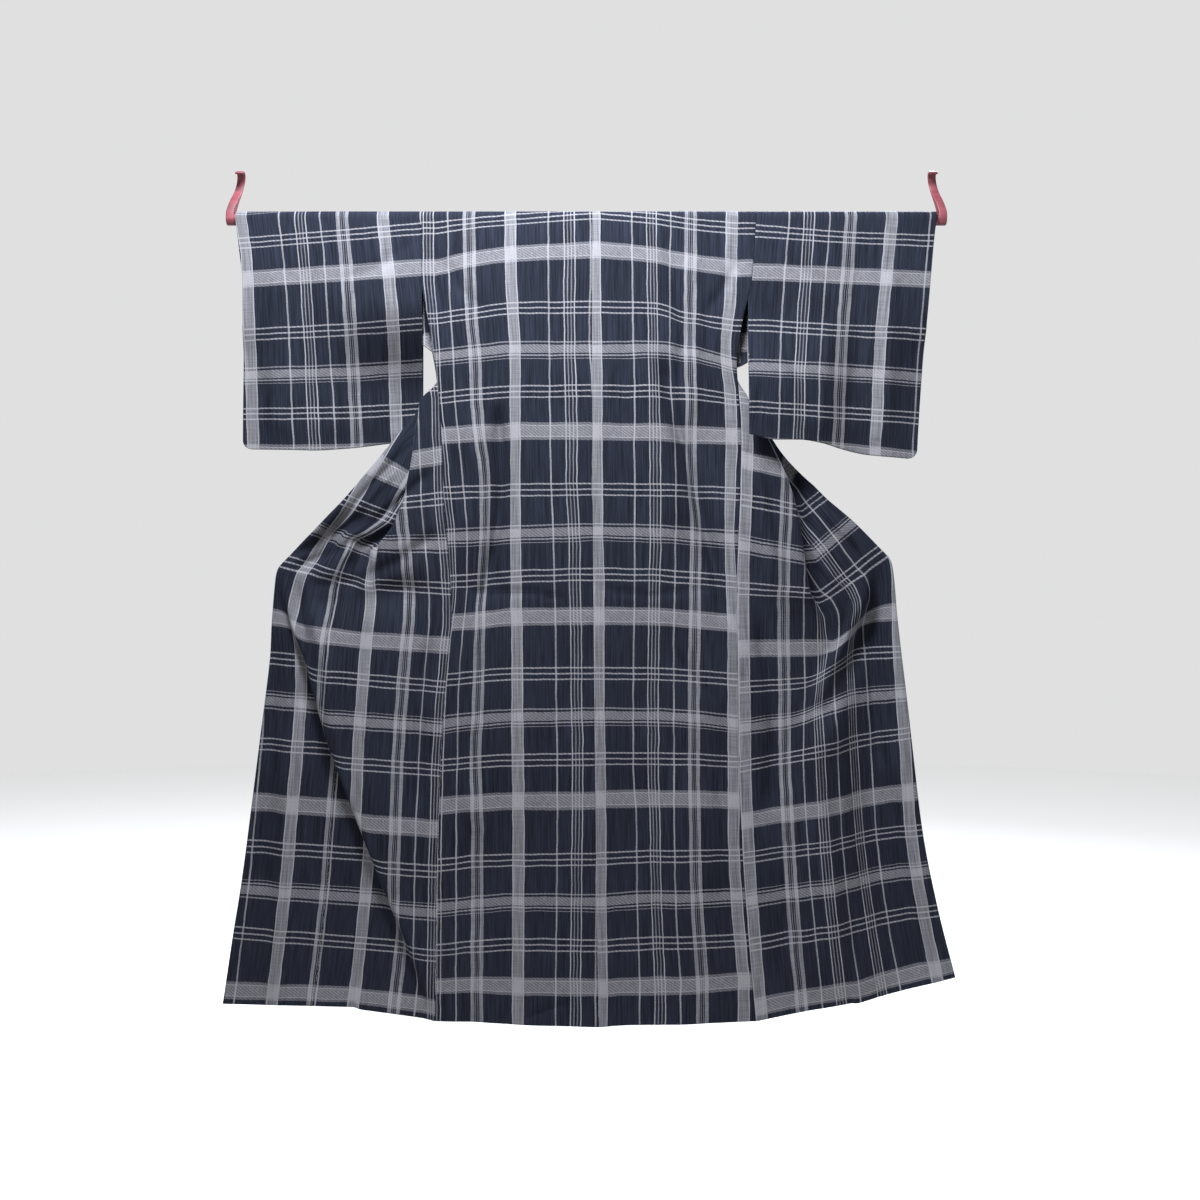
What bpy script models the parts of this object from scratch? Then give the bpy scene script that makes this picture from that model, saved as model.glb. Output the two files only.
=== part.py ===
"""Denim kimono spread on a kimono hanger rod, with its back to the viewer.

Metres, +Z up. The origin lies on the axis of the rail that the two hanger arms hook over,
midway between them. -Y is the garment's back, +Y its front, +X the viewer's right.

Each body panel is one length of cloth: up the back, over the rod and down the front. Below
the armhole the fronts are drawn out sideways and turned over, so that their outer faces
look the same way as the back. The cloth keeps its width along each weft line: where two
edges come closer than that, the line folds, and the fold's angle takes up the spare cloth.
"""
import math
from collections import namedtuple

import bmesh
import bpy
import numpy as np
from mathutils import Matrix

# Cloth
CLOTH = 0.0012
COLLAR_WALL = 0.0024
SEAM_GAP = 0.0003
HALF_GAP = SEAM_GAP / 2

# Hanger: a round rod that the shoulders lie on, and an arm at each end that hooks over a rail
ROD_RADIUS = 0.0125
ROD_Z = -0.0725
RAIL_RADIUS = 0.017
ARM_X = {-1: -0.718, 1: 0.704}
ARM_THICKNESS = 0.016
ARM_LEAN = 0.24
HOOK_WIDTH = 0.0052
HOOK_RADIUS = RAIL_RADIUS + HOOK_WIDTH / 2 + 0.0006

# Garment
OVER_ROD = 0.0138
SHOULDER_Z = ROD_Z + OVER_ROD
CENTRE_X_TOP = 0.004
CENTRE_X_HEM = 0.018
HEM_Z = -1.674
HEM_DIP = 0.010
HEM_DEPTH = SHOULDER_Z - HEM_Z
ARMHOLE_DEPTH = 0.165
FREE_EDGE_SHOW = 0.006
SIDE_FORWARD = 0.006
BILLOW = 0.006
SIDE_SEAM_DEPTH = 0.385
BODY_FRONT_WIDTH = 0.250
OKUMI_TOP = 0.20
OKUMI_GAP = 0.0010
COLLAR_END = 0.770
COLLAR_WIDTH = 0.055
COLLAR_GAP = 0.0006
COLLAR_REACH = 0.035
FOLD_ARC = 0.030
LEAST_FOLD = 0.024
SWAG_ARC = 0.045
LEAST_SWAG = 0.036
STEPPED_LIFT = 0.4

# Sleeves
WRIST_DEPTH = 0.230
SLEEVE_CORNER = 0.017
SLEEVE_EDGE_GAP = 0.0034
SLEEVE_FLAT_TO = -0.215
SLEEVE_HALF = 0.006
SLEEVE_WAVE = 0.004
SLEEVE_WAVE_TURN = 38.0
PUSHED_OUT = 0.1

# Grid steps
BODY_COLUMNS = 20
OKUMI_COLUMNS = 11
FINE_STEPS = 8
NARROW_STEPS = 2
BACK_ROWS = 13
ROD_ROWS = 8
SLEEVE_COLUMNS = 9
SLEEVE_ROWS = 10

DENIM = (0.045, 0.055, 0.085, 1.0)
RED_WOOD = (0.26, 0.045, 0.035, 1.0)

# One row for each weft line of a front that was measured. All lengths are in metres.
# depth: below the shoulder along the side; edge_*: where the front edge lies (the collar's
# seam down to COLLAR_END, then the overlap's free edge); width: cloth from side to edge;
# fold_at, swag_at: how far out from the side the upper and the lower fold start;
# swag: share of the spare cloth in the lower fold; sag: how far the line dips on its way
Row = namedtuple("Row", "depth edge_out edge_y edge_z width fold_at swag_at swag sag")

FRONT_ROWS = {
    -1: [
        Row(0.0, -0.004, 0.0138, -0.060, 0.340, -0.030, 0.40, 0.0, 0.0),
        Row(0.018, -0.004, 0.0138, -0.078, 0.340, -0.030, 0.40, 0.0, 0.0),
        Row(0.035, 0.043, 0.0140, -0.092, 0.300, -0.030, 0.40, 0.0, 0.0),
        Row(0.060, 0.076, 0.0165, -0.116, 0.270, -0.030, 0.40, 0.0, 0.0),
        Row(0.100, 0.119, 0.0295, -0.157, 0.250, -0.030, 0.40, 0.0, 0.0),
        Row(0.160, 0.165, 0.0330, -0.210, 0.252, -0.030, 0.40, 0.0, 0.0),
        Row(0.230, 0.216, 0.0345, -0.272, 0.270, -0.030, 0.40, 0.0, 0.0),
        Row(0.300, 0.256, 0.0350, -0.334, 0.290, -0.022, 0.40, 0.0, 0.005),
        Row(0.360, 0.294, 0.0350, -0.396, 0.310, 0.008, 0.40, 0.0, 0.015),
        Row(0.412, 0.352, 0.0350, -0.457, 0.328, 0.050, 0.40, 0.0, 0.028),
        Row(0.488, 0.440, 0.0350, -0.562, 0.350, 0.066, 0.40, 0.0, 0.035),
        Row(0.574, 0.499, 0.0350, -0.631, 0.370, 0.088, 0.39, 0.0, 0.040),
        Row(0.666, 0.556, 0.0370, -0.690, 0.392, 0.104, 0.38, 0.15, 0.030),
        Row(0.756, 0.619, 0.0400, -0.753, 0.408, 0.135, 0.36, 0.95, 0.017),
        Row(0.800, 0.640, 0.0390, -0.803, 0.412, 0.150, 0.35, 1.0, 0.012),
        Row(0.866, 0.643, 0.0370, -0.868, 0.416, 0.150, 0.325, 1.0, 0.008),
        Row(0.950, 0.648, 0.0330, -0.951, 0.420, 0.150, 0.29, 1.0, 0.0),
        Row(1.090, 0.663, 0.0240, -1.097, 0.424, 0.150, 0.23, 1.0, 0.0),
        Row(1.236, 0.680, 0.0180, -1.243, 0.426, 0.150, 0.164, 1.0, 0.0),
        Row(1.386, 0.700, 0.0140, -1.400, 0.428, 0.150, 0.098, 1.0, 0.0),
        Row(1.490, 0.716, 0.0100, -1.505, 0.430, 0.150, 0.045, 1.0, 0.0),
        Row(1.615, 0.736, 0.0060, -1.643, 0.431, 0.150, -0.01, 1.0, -0.013),
    ],
    1: [
        Row(0.0, 0.004, 0.0138, -0.060, 0.332, -0.030, 0.40, 0.0, 0.0),
        Row(0.018, 0.004, 0.0138, -0.078, 0.332, -0.030, 0.40, 0.0, 0.0),
        Row(0.035, 0.049, 0.0140, -0.097, 0.292, -0.030, 0.40, 0.0, 0.0),
        Row(0.060, 0.078, 0.0175, -0.124, 0.262, -0.030, 0.40, 0.0, 0.0),
        Row(0.100, 0.117, 0.0295, -0.170, 0.250, -0.030, 0.40, 0.0, 0.0),
        Row(0.160, 0.159, 0.0330, -0.226, 0.252, -0.030, 0.40, 0.0, 0.0),
        Row(0.230, 0.206, 0.0345, -0.291, 0.270, -0.030, 0.40, 0.0, 0.0),
        Row(0.300, 0.254, 0.0360, -0.355, 0.290, -0.018, 0.40, 0.0, 0.003),
        Row(0.360, 0.303, 0.0375, -0.418, 0.310, 0.012, 0.40, 0.0, 0.006),
        Row(0.430, 0.353, 0.0390, -0.486, 0.332, 0.050, 0.40, 0.0, 0.008),
        Row(0.500, 0.408, 0.0390, -0.560, 0.350, 0.090, 0.40, 0.0, 0.010),
        Row(0.576, 0.472, 0.0390, -0.623, 0.368, 0.116, 0.38, 0.0, 0.012),
        Row(0.666, 0.534, 0.0400, -0.676, 0.388, 0.138, 0.35, 0.0, 0.020),
        Row(0.754, 0.593, 0.0440, -0.737, 0.402, 0.155, 0.31, 0.0, 0.028),
        Row(0.800, 0.614, 0.0460, -0.785, 0.406, 0.165, 0.285, 0.2, 0.024),
        Row(0.876, 0.621, 0.0400, -0.862, 0.408, 0.185, 0.245, 0.9, 0.015),
        Row(0.952, 0.629, 0.0340, -0.942, 0.410, 0.190, 0.202, 1.0, 0.004),
        Row(1.052, 0.640, 0.0260, -1.045, 0.411, 0.190, 0.150, 1.0, 0.0),
        Row(1.136, 0.649, 0.0220, -1.130, 0.411, 0.190, 0.105, 1.0, 0.0),
        Row(1.292, 0.668, 0.0160, -1.297, 0.411, 0.190, 0.050, 1.0, 0.0),
        Row(1.466, 0.699, 0.0100, -1.458, 0.411, 0.190, 0.020, 1.0, 0.0),
        Row(1.615, 0.732, 0.0060, -1.590, 0.412, 0.190, 0.000, 1.0, 0.007),
    ],
}

# Where the back's side edge lies, from the shoulder to the hem
SideRow = namedtuple("SideRow", "z out")

SIDE_ROWS = {
    -1: [
        SideRow(-0.059, 0.336),
        SideRow(-0.202, 0.335),
        SideRow(-0.252, 0.327),
        SideRow(-0.316, 0.316),
        SideRow(-0.378, 0.308),
        SideRow(-0.470, 0.298),
        SideRow(-0.618, 0.293),
        SideRow(-0.792, 0.279),
        SideRow(-0.872, 0.276),
        SideRow(-0.908, 0.279),
        SideRow(-1.006, 0.288),
        SideRow(-1.156, 0.298),
        SideRow(-1.386, 0.305),
        SideRow(-1.672, 0.309),
    ],
    1: [
        SideRow(-0.059, 0.332),
        SideRow(-0.202, 0.322),
        SideRow(-0.274, 0.305),
        SideRow(-0.362, 0.293),
        SideRow(-0.424, 0.297),
        SideRow(-0.506, 0.302),
        SideRow(-0.618, 0.300),
        SideRow(-0.792, 0.294),
        SideRow(-0.872, 0.294),
        SideRow(-1.000, 0.296),
        SideRow(-1.166, 0.298),
        SideRow(-1.324, 0.304),
        SideRow(-1.502, 0.316),
        SideRow(-1.672, 0.331),
    ],
}

# Soft troughs (positive) and ridges of the hanging back: place across, top, bottom, half
# width and depth
BackFold = namedtuple("BackFold", "x top bottom half_width depth")

BACK_FOLDS = [
    BackFold(-0.195, -0.44, -0.90, 0.034, 0.009),
    BackFold(-0.115, -0.95, -1.80, 0.050, -0.007),
    BackFold(-0.245, -1.05, -1.80, 0.040, 0.007),
    BackFold(0.060, -1.10, -1.80, 0.055, 0.008),
    BackFold(0.215, -0.42, -0.86, 0.036, 0.010),
    BackFold(0.190, -1.00, -1.80, 0.045, -0.007),
    BackFold(0.000, -0.30, -1.00, 0.060, -0.004),
]

# Middle line of an arm's stem from the rod up to its hook: (depth, height)
ARM_STEM = [(0.0, ROD_Z), (0.0005, -0.060), (0.0025, -0.047), (0.0075, -0.034),
            (0.0145, -0.021), (0.0186, -0.012)]

# Where a sleeve's outer edge and bottom lie, going down or outwards. Its inner edge follows
# the body down the armhole and hangs free below it.
FREE_INNER_EDGE = {-1: 0.3345, 1: 0.3150}

SleeveEdge = namedtuple("SleeveEdge", "z outer")

SLEEVE_EDGES = {
    -1: [
        SleeveEdge(-0.059, 0.708),
        SleeveEdge(-0.132, 0.699),
        SleeveEdge(-0.202, 0.692),
        SleeveEdge(-0.316, 0.692),
        SleeveEdge(-0.508, 0.694),
        SleeveEdge(-0.560, 0.694),
    ],
    1: [
        SleeveEdge(-0.059, 0.6935),
        SleeveEdge(-0.100, 0.687),
        SleeveEdge(-0.205, 0.6775),
        SleeveEdge(-0.354, 0.6655),
        SleeveEdge(-0.508, 0.6555),
        SleeveEdge(-0.560, 0.653),
    ],
}

SleeveHem = namedtuple("SleeveHem", "out z")

SLEEVE_HEMS = {
    -1: [
        SleeveHem(0.336, -0.509),
        SleeveHem(0.402, -0.514),
        SleeveHem(0.496, -0.527),
        SleeveHem(0.576, -0.534),
        SleeveHem(0.690, -0.532),
    ],
    1: [
        SleeveHem(0.312, -0.504),
        SleeveHem(0.372, -0.516),
        SleeveHem(0.418, -0.516),
        SleeveHem(0.468, -0.522),
        SleeveHem(0.508, -0.532),
        SleeveHem(0.570, -0.544),
        SleeveHem(0.654, -0.551),
    ],
}

# How far the lower inner corner of each sleeve is pushed back by the front that turns over
# beside it, where that starts and where it is complete
SleevePush = namedtuple("SleevePush", "shift z_start z_full out_start out_full")

SLEEVE_PUSHES = {
    -1: SleevePush(0.066, -0.235, -0.415, 0.600, 0.410),
    1: SleevePush(-0.034, -0.235, -0.415, 0.560, 0.400),
}


def ease(t):
    """Smooth step from 0 to 1 while t goes from 0 to 1."""
    t = np.clip(t, 0.0, 1.0)
    return t * t * (3 - 2 * t)


def smooth(x, xs, ys):
    """A smooth curve through the points (xs, ys), read at x: cubic between each two points."""
    xs = np.asarray(xs, float)
    ys = np.asarray(ys, float)
    rise = np.diff(ys) / np.diff(xs)
    slope = np.empty_like(ys)
    slope[0] = rise[0]
    slope[-1] = rise[-1]
    flat = rise[:-1] * rise[1:] <= 0
    mean = 2 * rise[:-1] * rise[1:] / np.where(flat, 1.0, rise[:-1] + rise[1:])
    slope[1:-1] = np.where(flat, 0.0, mean)
    x = np.clip(x, xs[0], xs[-1])
    left = np.clip(np.searchsorted(xs, x) - 1, 0, len(xs) - 2)
    span = xs[left + 1] - xs[left]
    t = (x - xs[left]) / span
    start = ys[left] * (1 + 2 * t) * (1 - t) ** 2 + slope[left] * span * t * (1 - t) ** 2
    end = ys[left + 1] * t * t * (3 - 2 * t) - slope[left + 1] * span * t * t * (1 - t)
    return start + end


def column(rows, name):
    """One named column of a table of rows."""
    return [getattr(row, name) for row in rows]


def side_out(side, z):
    """How far out the back's side edge lies at height z."""
    rows = SIDE_ROWS[side][::-1]
    return smooth(z, column(rows, "z"), column(rows, "out"))


def side_y(z):
    """Depth of the side edge: flat under the rod, drawn forward where the fronts turn over."""
    return -OVER_ROD + SIDE_FORWARD * ease((-z - 0.30) / 0.14)


def centre_x(z):
    """Where the centre-back seam lies at height z."""
    share = (SHOULDER_Z - z) / HEM_DEPTH
    return CENTRE_X_TOP + (CENTRE_X_HEM - CENTRE_X_TOP) * share ** 2


def back_y(x, z, out_share):
    """Depth of the hanging back: its side edges' depth, and soft folds that fade there."""
    folds = np.zeros(np.broadcast(x, z).shape)
    for fold in BACK_FOLDS:
        across = np.exp(-(((x - fold.x) / fold.half_width) ** 2))
        along = ease((fold.top - z) / 0.12) * ease((z - fold.bottom) / 0.12)
        folds = folds + fold.depth * across * along
    forward = side_y(z) + OVER_ROD
    billow = -BILLOW * ease((-z - 0.5) / 0.8)
    hang = ease((-z - 0.12) / 0.3)
    inner = ease((1 - out_share) / 0.25)
    return -OVER_ROD + forward * out_share ** 2 + (billow + folds) * inner * hang


def front_sheet(side, depths, body_share, okumi_share):
    """Points of one whole front, a row for each depth, from the side seam to the front edge.

    The direction of each weft line, seen from above, starts outwards, turns by the fold's
    angle and turns back: outwards, inwards behind itself, outwards again. Adding up its
    small steps gives the line, which is then drawn to the place of the front edge.
    """
    rows = FRONT_ROWS[side]
    at = {name: smooth(depths, column(rows, "depth"), column(rows, name))[:, None]
          for name in Row._fields[1:]}
    depth = depths[:, None]
    start_z = SHOULDER_Z - depth
    hem_lift = HEM_Z - start_z
    start_z = np.where(depth > HEM_DEPTH, start_z + hem_lift, start_z)
    below_armhole = ease((depth - ARMHOLE_DEPTH - 0.01) / 0.06)
    above_seam = ease((SIDE_SEAM_DEPTH - 0.045 - depth) / 0.08)
    outside = np.where(depth < SIDE_SEAM_DEPTH - 0.02, -HALF_GAP, HALF_GAP)
    start_out = side_out(side, start_z) + FREE_EDGE_SHOW * below_armhole * above_seam + outside
    forward = ease((depth - 0.22) / (SIDE_SEAM_DEPTH - 0.22))
    start_y = OVER_ROD * (1 - forward) + side_y(start_z) * forward

    width = at["width"]
    body_width = np.where(depth < OKUMI_TOP - 1e-6, width, BODY_FRONT_WIDTH)
    body_w = body_share[None, :] * (body_width - OKUMI_GAP / 2)
    okumi_start = body_width + OKUMI_GAP / 2
    okumi_w = okumi_start + okumi_share[None, :] * np.maximum(width - okumi_start, 0.0)
    w = np.concatenate([body_w, okumi_w], axis=1)

    reach = np.hypot(at["edge_out"] - start_out, at["edge_z"] - start_z)
    outwards = np.sign(at["edge_out"] - start_out)
    reach = np.where(outwards < 0, at["edge_out"] - start_out, reach)
    spare = np.maximum(width - reach, 0.0)
    fold_spare = spare * (1 - at["swag"])
    swag_spare = spare * at["swag"]
    tight = np.where(reach < 0, 1 - ease((width + reach) / 0.04), 0.0)
    turn = np.zeros_like(w)
    for spare_here, centre, arc, least in ((fold_spare, at["fold_at"], FOLD_ARC, LEAST_FOLD),
                                           (swag_spare, at["swag_at"], SWAG_ARC, LEAST_SWAG)):
        back = np.maximum(spare_here / 2, least)
        angle = np.arccos(1 - np.clip(spare_here / back, 0.0, 2.0))
        into = ease((w - centre) / arc + 0.5)
        far = np.maximum(centre, 0.0) + back + tight * arc * 0.6
        out_of = ease((w - far) / arc + 0.5)
        turn = turn + angle * (into - out_of)
    middle = (turn[:, 1:] + turn[:, :-1]) / 2
    step = np.diff(w, axis=1)
    zero = np.zeros_like(depth)
    out = start_out + np.concatenate([zero, np.cumsum(np.cos(middle) * step, axis=1)], axis=1)
    y = start_y + np.concatenate([zero, np.cumsum(np.sin(middle) * step, axis=1)], axis=1)
    share = w / w[:, -1:]
    out = out + (at["edge_out"] - out[:, -1:]) * share
    y = y + (at["edge_y"] - y[:, -1:]) * share
    stepped = STEPPED_LIFT * ease(at["swag_at"] / 0.12)
    lift = (1 - stepped) * share + stepped * ease((w - at["swag_at"] + 0.03) / 0.08)
    lift = lift / np.maximum(lift[:, -1:], 1e-6)
    z = start_z + (at["edge_z"] - start_z) * lift - at["sag"] * 4 * share * (1 - share)
    return np.stack([side * out, y, z], axis=2)


def front_depths():
    """Depths of a front's rows, closer together where the front turns over."""
    return np.concatenate([
        np.linspace(OVER_ROD, OKUMI_TOP, 6, endpoint=False),
        np.linspace(OKUMI_TOP, SIDE_SEAM_DEPTH, 5, endpoint=False),
        np.linspace(SIDE_SEAM_DEPTH, 1.0, 13, endpoint=False),
        np.linspace(1.0, HEM_DEPTH, 8),
    ])


def shares(steps):
    """Even shares from 0 to 1, finer than the mesh so that the folds add up true."""
    return np.linspace(0, 1, steps * FINE_STEPS + 1)


def kept_columns(steps, narrow_at_end):
    """Which fine columns the mesh keeps: even ones, and a narrow one beside the panels' seam."""
    kept = list(range(0, steps * FINE_STEPS + 1, FINE_STEPS))
    kept.append(steps * FINE_STEPS - NARROW_STEPS if narrow_at_end else NARROW_STEPS)
    return sorted(kept)


def back_points(side, z_shares, columns):
    """Points of a back panel from the hem up to the rod, a row for each share of its height."""
    share_in = np.linspace(0, 1, columns + 1)[None, :]
    rough_z = ROD_Z + (HEM_Z - ROD_Z) * z_shares[:, None]
    edge = side * (side_out(side, rough_z) - HALF_GAP)
    middle = centre_x(rough_z) + side * HALF_GAP
    x = edge + (middle - edge) * share_in
    z = rough_z - HEM_DIP * share_in ** 2 * z_shares[:, None] ** 3
    return np.stack([x, back_y(x, z, 1 - share_in), z], axis=2)


def over_rod(side, angles, columns):
    """Points over the rod, from its back to its front."""
    share_in = np.linspace(0, 1, columns + 1)[None, :]
    edge = side * (side_out(side, ROD_Z) - HALF_GAP)
    middle = CENTRE_X_TOP + side * HALF_GAP
    x = edge + (middle - edge) * share_in
    x = x + np.zeros((len(angles), 1))
    y = -OVER_ROD * np.cos(angles)[:, None] + 0 * x
    z = ROD_Z + OVER_ROD * np.sin(angles)[:, None] + 0 * x
    return np.stack([x, y, z], axis=2)


def body_points(side):
    """One length of cloth: up the back, over the rod and down the front to the hem."""
    back = back_points(side, np.linspace(1, 0, BACK_ROWS + 1), BODY_COLUMNS)
    angles = np.linspace(0, math.pi, ROD_ROWS + 1)[1:-1]
    top = over_rod(side, angles, BODY_COLUMNS)
    fine = front_sheet(side, front_depths(), shares(BODY_COLUMNS), shares(OKUMI_COLUMNS))
    front = fine[:, kept_columns(BODY_COLUMNS, True)]
    rest = np.concatenate([back, top])
    narrow = 1 - NARROW_STEPS / FINE_STEPS
    added = rest[:, -2:-1] + (rest[:, -1:] - rest[:, -2:-1]) * narrow
    rest = np.concatenate([rest[:, :-1], added, rest[:, -1:]], axis=1)
    return np.concatenate([rest, front])


def okumi_points(side):
    """The overlap panel: the strip outside the body's front, from its point to the hem."""
    depths = front_depths()
    fine = front_sheet(side, depths, shares(BODY_COLUMNS), shares(OKUMI_COLUMNS))
    panel = fine[:, BODY_COLUMNS * FINE_STEPS + 1:][:, kept_columns(OKUMI_COLUMNS, False)]
    return panel[depths >= OKUMI_TOP - 1e-6]


def collar_points():
    """The collar: a flat band under the fronts' edges, from one end round the neck to the other."""
    depths = front_depths()
    depths = np.append(depths[depths < COLLAR_END - 0.01], COLLAR_END)
    edges = []
    sheets = []
    for side in (-1, 1):
        sheet = front_sheet(side, depths, shares(BODY_COLUMNS), shares(OKUMI_COLUMNS))
        edges.append(sheet[:, -1])
        lower = front_sheet(side, front_depths(), shares(BODY_COLUMNS), shares(OKUMI_COLUMNS))
        sheets.append(lower.reshape(-1, 3))
    sheet = np.concatenate(sheets)
    seam = np.concatenate([edges[0][::-1], edges[1][1:]])
    along = np.gradient(seam[:, [0, 2]], axis=0)
    along = along / np.linalg.norm(along, axis=1, keepdims=True)
    inwards = np.stack([along[:, 1], np.zeros(len(seam)), -along[:, 0]], axis=1)
    across = np.linspace(0, COLLAR_WIDTH, 4)[None, :, None]
    band = seam[:, None, :] + inwards[:, None, :] * across
    away = np.hypot(band[..., 0, None] - sheet[:, 0], band[..., 2, None] - sheet[:, 2])
    under = np.where(away < COLLAR_REACH, sheet[:, 1], -1.0).max(axis=2)
    band[..., 1] = np.maximum(band[..., 1], under) + (CLOTH + COLLAR_WALL) / 2 + COLLAR_GAP
    return band


def sleeve_points(side):
    """A sleeve: one length over the rod, joined along the bottom and below the wrist.

    The rows run round it: up the back layer, over the rod and down the front layer. Both
    layers hang closer together towards the bottom and towards the closed outer edge.
    """
    share_out = np.linspace(0, 1, SLEEVE_COLUMNS + 1)[None, :]
    down = np.linspace(1, 0, SLEEVE_ROWS + 1)[:, None]
    edges = SLEEVE_EDGES[side][::-1]
    hems = SLEEVE_HEMS[side]
    levels = column(edges, "z")
    first_out = FREE_INNER_EDGE[side]
    rough_out = first_out + (SLEEVE_EDGES[side][-1].outer - first_out) * share_out
    bottom = smooth(rough_out, column(hems, "out"), column(hems, "z"))
    z = ROD_Z + (bottom - ROD_Z) * down
    corner = np.clip(1 - (z - bottom) / SLEEVE_CORNER, 0, 1)
    cut = SLEEVE_CORNER * (1 - np.sqrt(1 - corner ** 2))
    push = SLEEVE_PUSHES[side]
    low = ease((push.z_start - z) / (push.z_start - push.z_full))
    inner = np.maximum(side_out(side, z), first_out) + HALF_GAP
    inner = inner + PUSHED_OUT * max(push.shift, 0.0) * low
    outer = smooth(z, levels, column(edges, "outer")) - cut
    x = side * (inner + (outer - inner) * share_out)
    drop = ease((SLEEVE_FLAT_TO - z) / 0.25)
    half = OVER_ROD + (SLEEVE_HALF - OVER_ROD) * drop
    closed = ease((SHOULDER_Z - z - WRIST_DEPTH) / 0.06) * ease((share_out - 0.80) / 0.20)
    half = half + (SLEEVE_EDGE_GAP / 2 - half) * closed
    seam = ease(1 - (z - bottom) / 0.05)
    half = half + (SLEEVE_EDGE_GAP / 2 - half) * seam
    near = ease((push.out_start - side * x) / (push.out_start - push.out_full))
    wave = SLEEVE_WAVE * np.sin(side * x * SLEEVE_WAVE_TURN + 1.0) * drop * (1 - near)
    shift = push.shift * low * near + wave
    back = np.stack([x, shift - half, z], axis=2)
    front = np.stack([x, shift + half, z], axis=2)[::-1]
    angles = np.linspace(0, math.pi, ROD_ROWS + 1)[1:-1]
    top_x = x[-1][None, :] + np.zeros((len(angles), 1))
    top_y = -OVER_ROD * np.cos(angles)[:, None] + 0 * top_x
    top_z = ROD_Z + OVER_ROD * np.sin(angles)[:, None] + 0 * top_x
    return np.concatenate([back, np.stack([top_x, top_y, top_z], axis=2), front])


def material(name, colour, roughness):
    """A plain Principled material."""
    made = bpy.data.materials.new(name)
    made.use_nodes = True
    shader = made.node_tree.nodes["Principled BSDF"]
    shader.inputs["Base Color"].default_value = colour
    shader.inputs["Roughness"].default_value = roughness
    shader.inputs["Metallic"].default_value = 0.0
    return made


def grid_faces(rows, columns):
    """The quads of a grid of points, row after row."""
    first = (np.arange(rows - 1)[:, None] * columns + np.arange(columns - 1)[None, :]).ravel()
    return np.stack([first, first + 1, first + columns + 1, first + columns], axis=1).tolist()


def cloth_panel(name, points, dressed, wall=CLOTH, extra_faces=()):
    """A wall of cloth round a grid of points, half of its thickness on each side."""
    rows, columns = points.shape[:2]
    mesh = bpy.data.meshes.new(name)
    faces = grid_faces(rows, columns) + list(extra_faces)
    mesh.from_pydata(points.reshape(-1, 3).tolist(), [], faces)
    mesh.shade_smooth()
    mesh.materials.append(dressed)
    panel = bpy.data.objects.new(name, mesh)
    KIMONO.objects.link(panel)
    shell = panel.modifiers.new("Wall", "SOLIDIFY")
    shell.thickness = wall
    shell.offset = 0.0
    return panel


def sleeve_seams(points):
    """Faces that join a sleeve's layers along its bottom and up its outer edge to the wrist."""
    rows, columns = points.shape[:2]
    last = rows - 1
    faces = []
    for place in range(columns - 1):
        faces.append([place, last * columns + place, last * columns + place + 1, place + 1])
    edge_z = points[: SLEEVE_ROWS + 1, -1, 2]
    closed = int(np.sum(edge_z < SHOULDER_Z - WRIST_DEPTH)) - 1
    for row in range(closed):
        back = row * columns + columns - 1
        front = (last - row) * columns + columns - 1
        faces.append([back, front, front - columns, back + columns])
    return faces


def hanger_rod(dressed):
    """The round rod, from one arm's inner face to the other's."""
    inner = ARM_THICKNESS / 2 + SEAM_GAP
    left = ARM_X[-1] + inner
    right = ARM_X[1] - inner
    middle = ((left + right) / 2, 0.0, ROD_Z)
    bpy.ops.mesh.primitive_cylinder_add(vertices=24, radius=ROD_RADIUS, depth=right - left,
                                        location=middle, rotation=(0, math.pi / 2, 0))
    rod = bpy.context.object
    rod.name = "hanger_rod"
    rod.data.materials.append(dressed)
    rod.data.shade_smooth()
    rod.data.set_sharp_from_angle(angle=math.radians(40))
    move_to_collection(rod)


def arm_outline():
    """Outline of an arm seen from the end: round at the rod, hooked over the rail at the top."""
    turn = np.radians(np.linspace(-12, 118, 14))
    hook = np.stack([HOOK_RADIUS * np.cos(turn), HOOK_RADIUS * np.sin(turn)], axis=1)
    line = np.concatenate([np.array(ARM_STEM), hook])
    run = np.concatenate([[0], np.cumsum(np.linalg.norm(np.diff(line, axis=0), axis=1))])
    narrow = ease(run / 0.075)
    half = ROD_RADIUS + (HOOK_WIDTH / 2 - ROD_RADIUS) * narrow
    along = np.gradient(line, axis=0)
    along = along / np.linalg.norm(along, axis=1, keepdims=True)
    across = np.stack([-along[:, 1], along[:, 0]], axis=1) * half[:, None]
    under = np.radians(np.linspace(0, -180, 13))[1:-1]
    bottom = np.stack([ROD_RADIUS * np.cos(under), ROD_Z + ROD_RADIUS * np.sin(under)], axis=1)
    return np.concatenate([bottom, line + across, (line - across)[::-1]])


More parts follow.
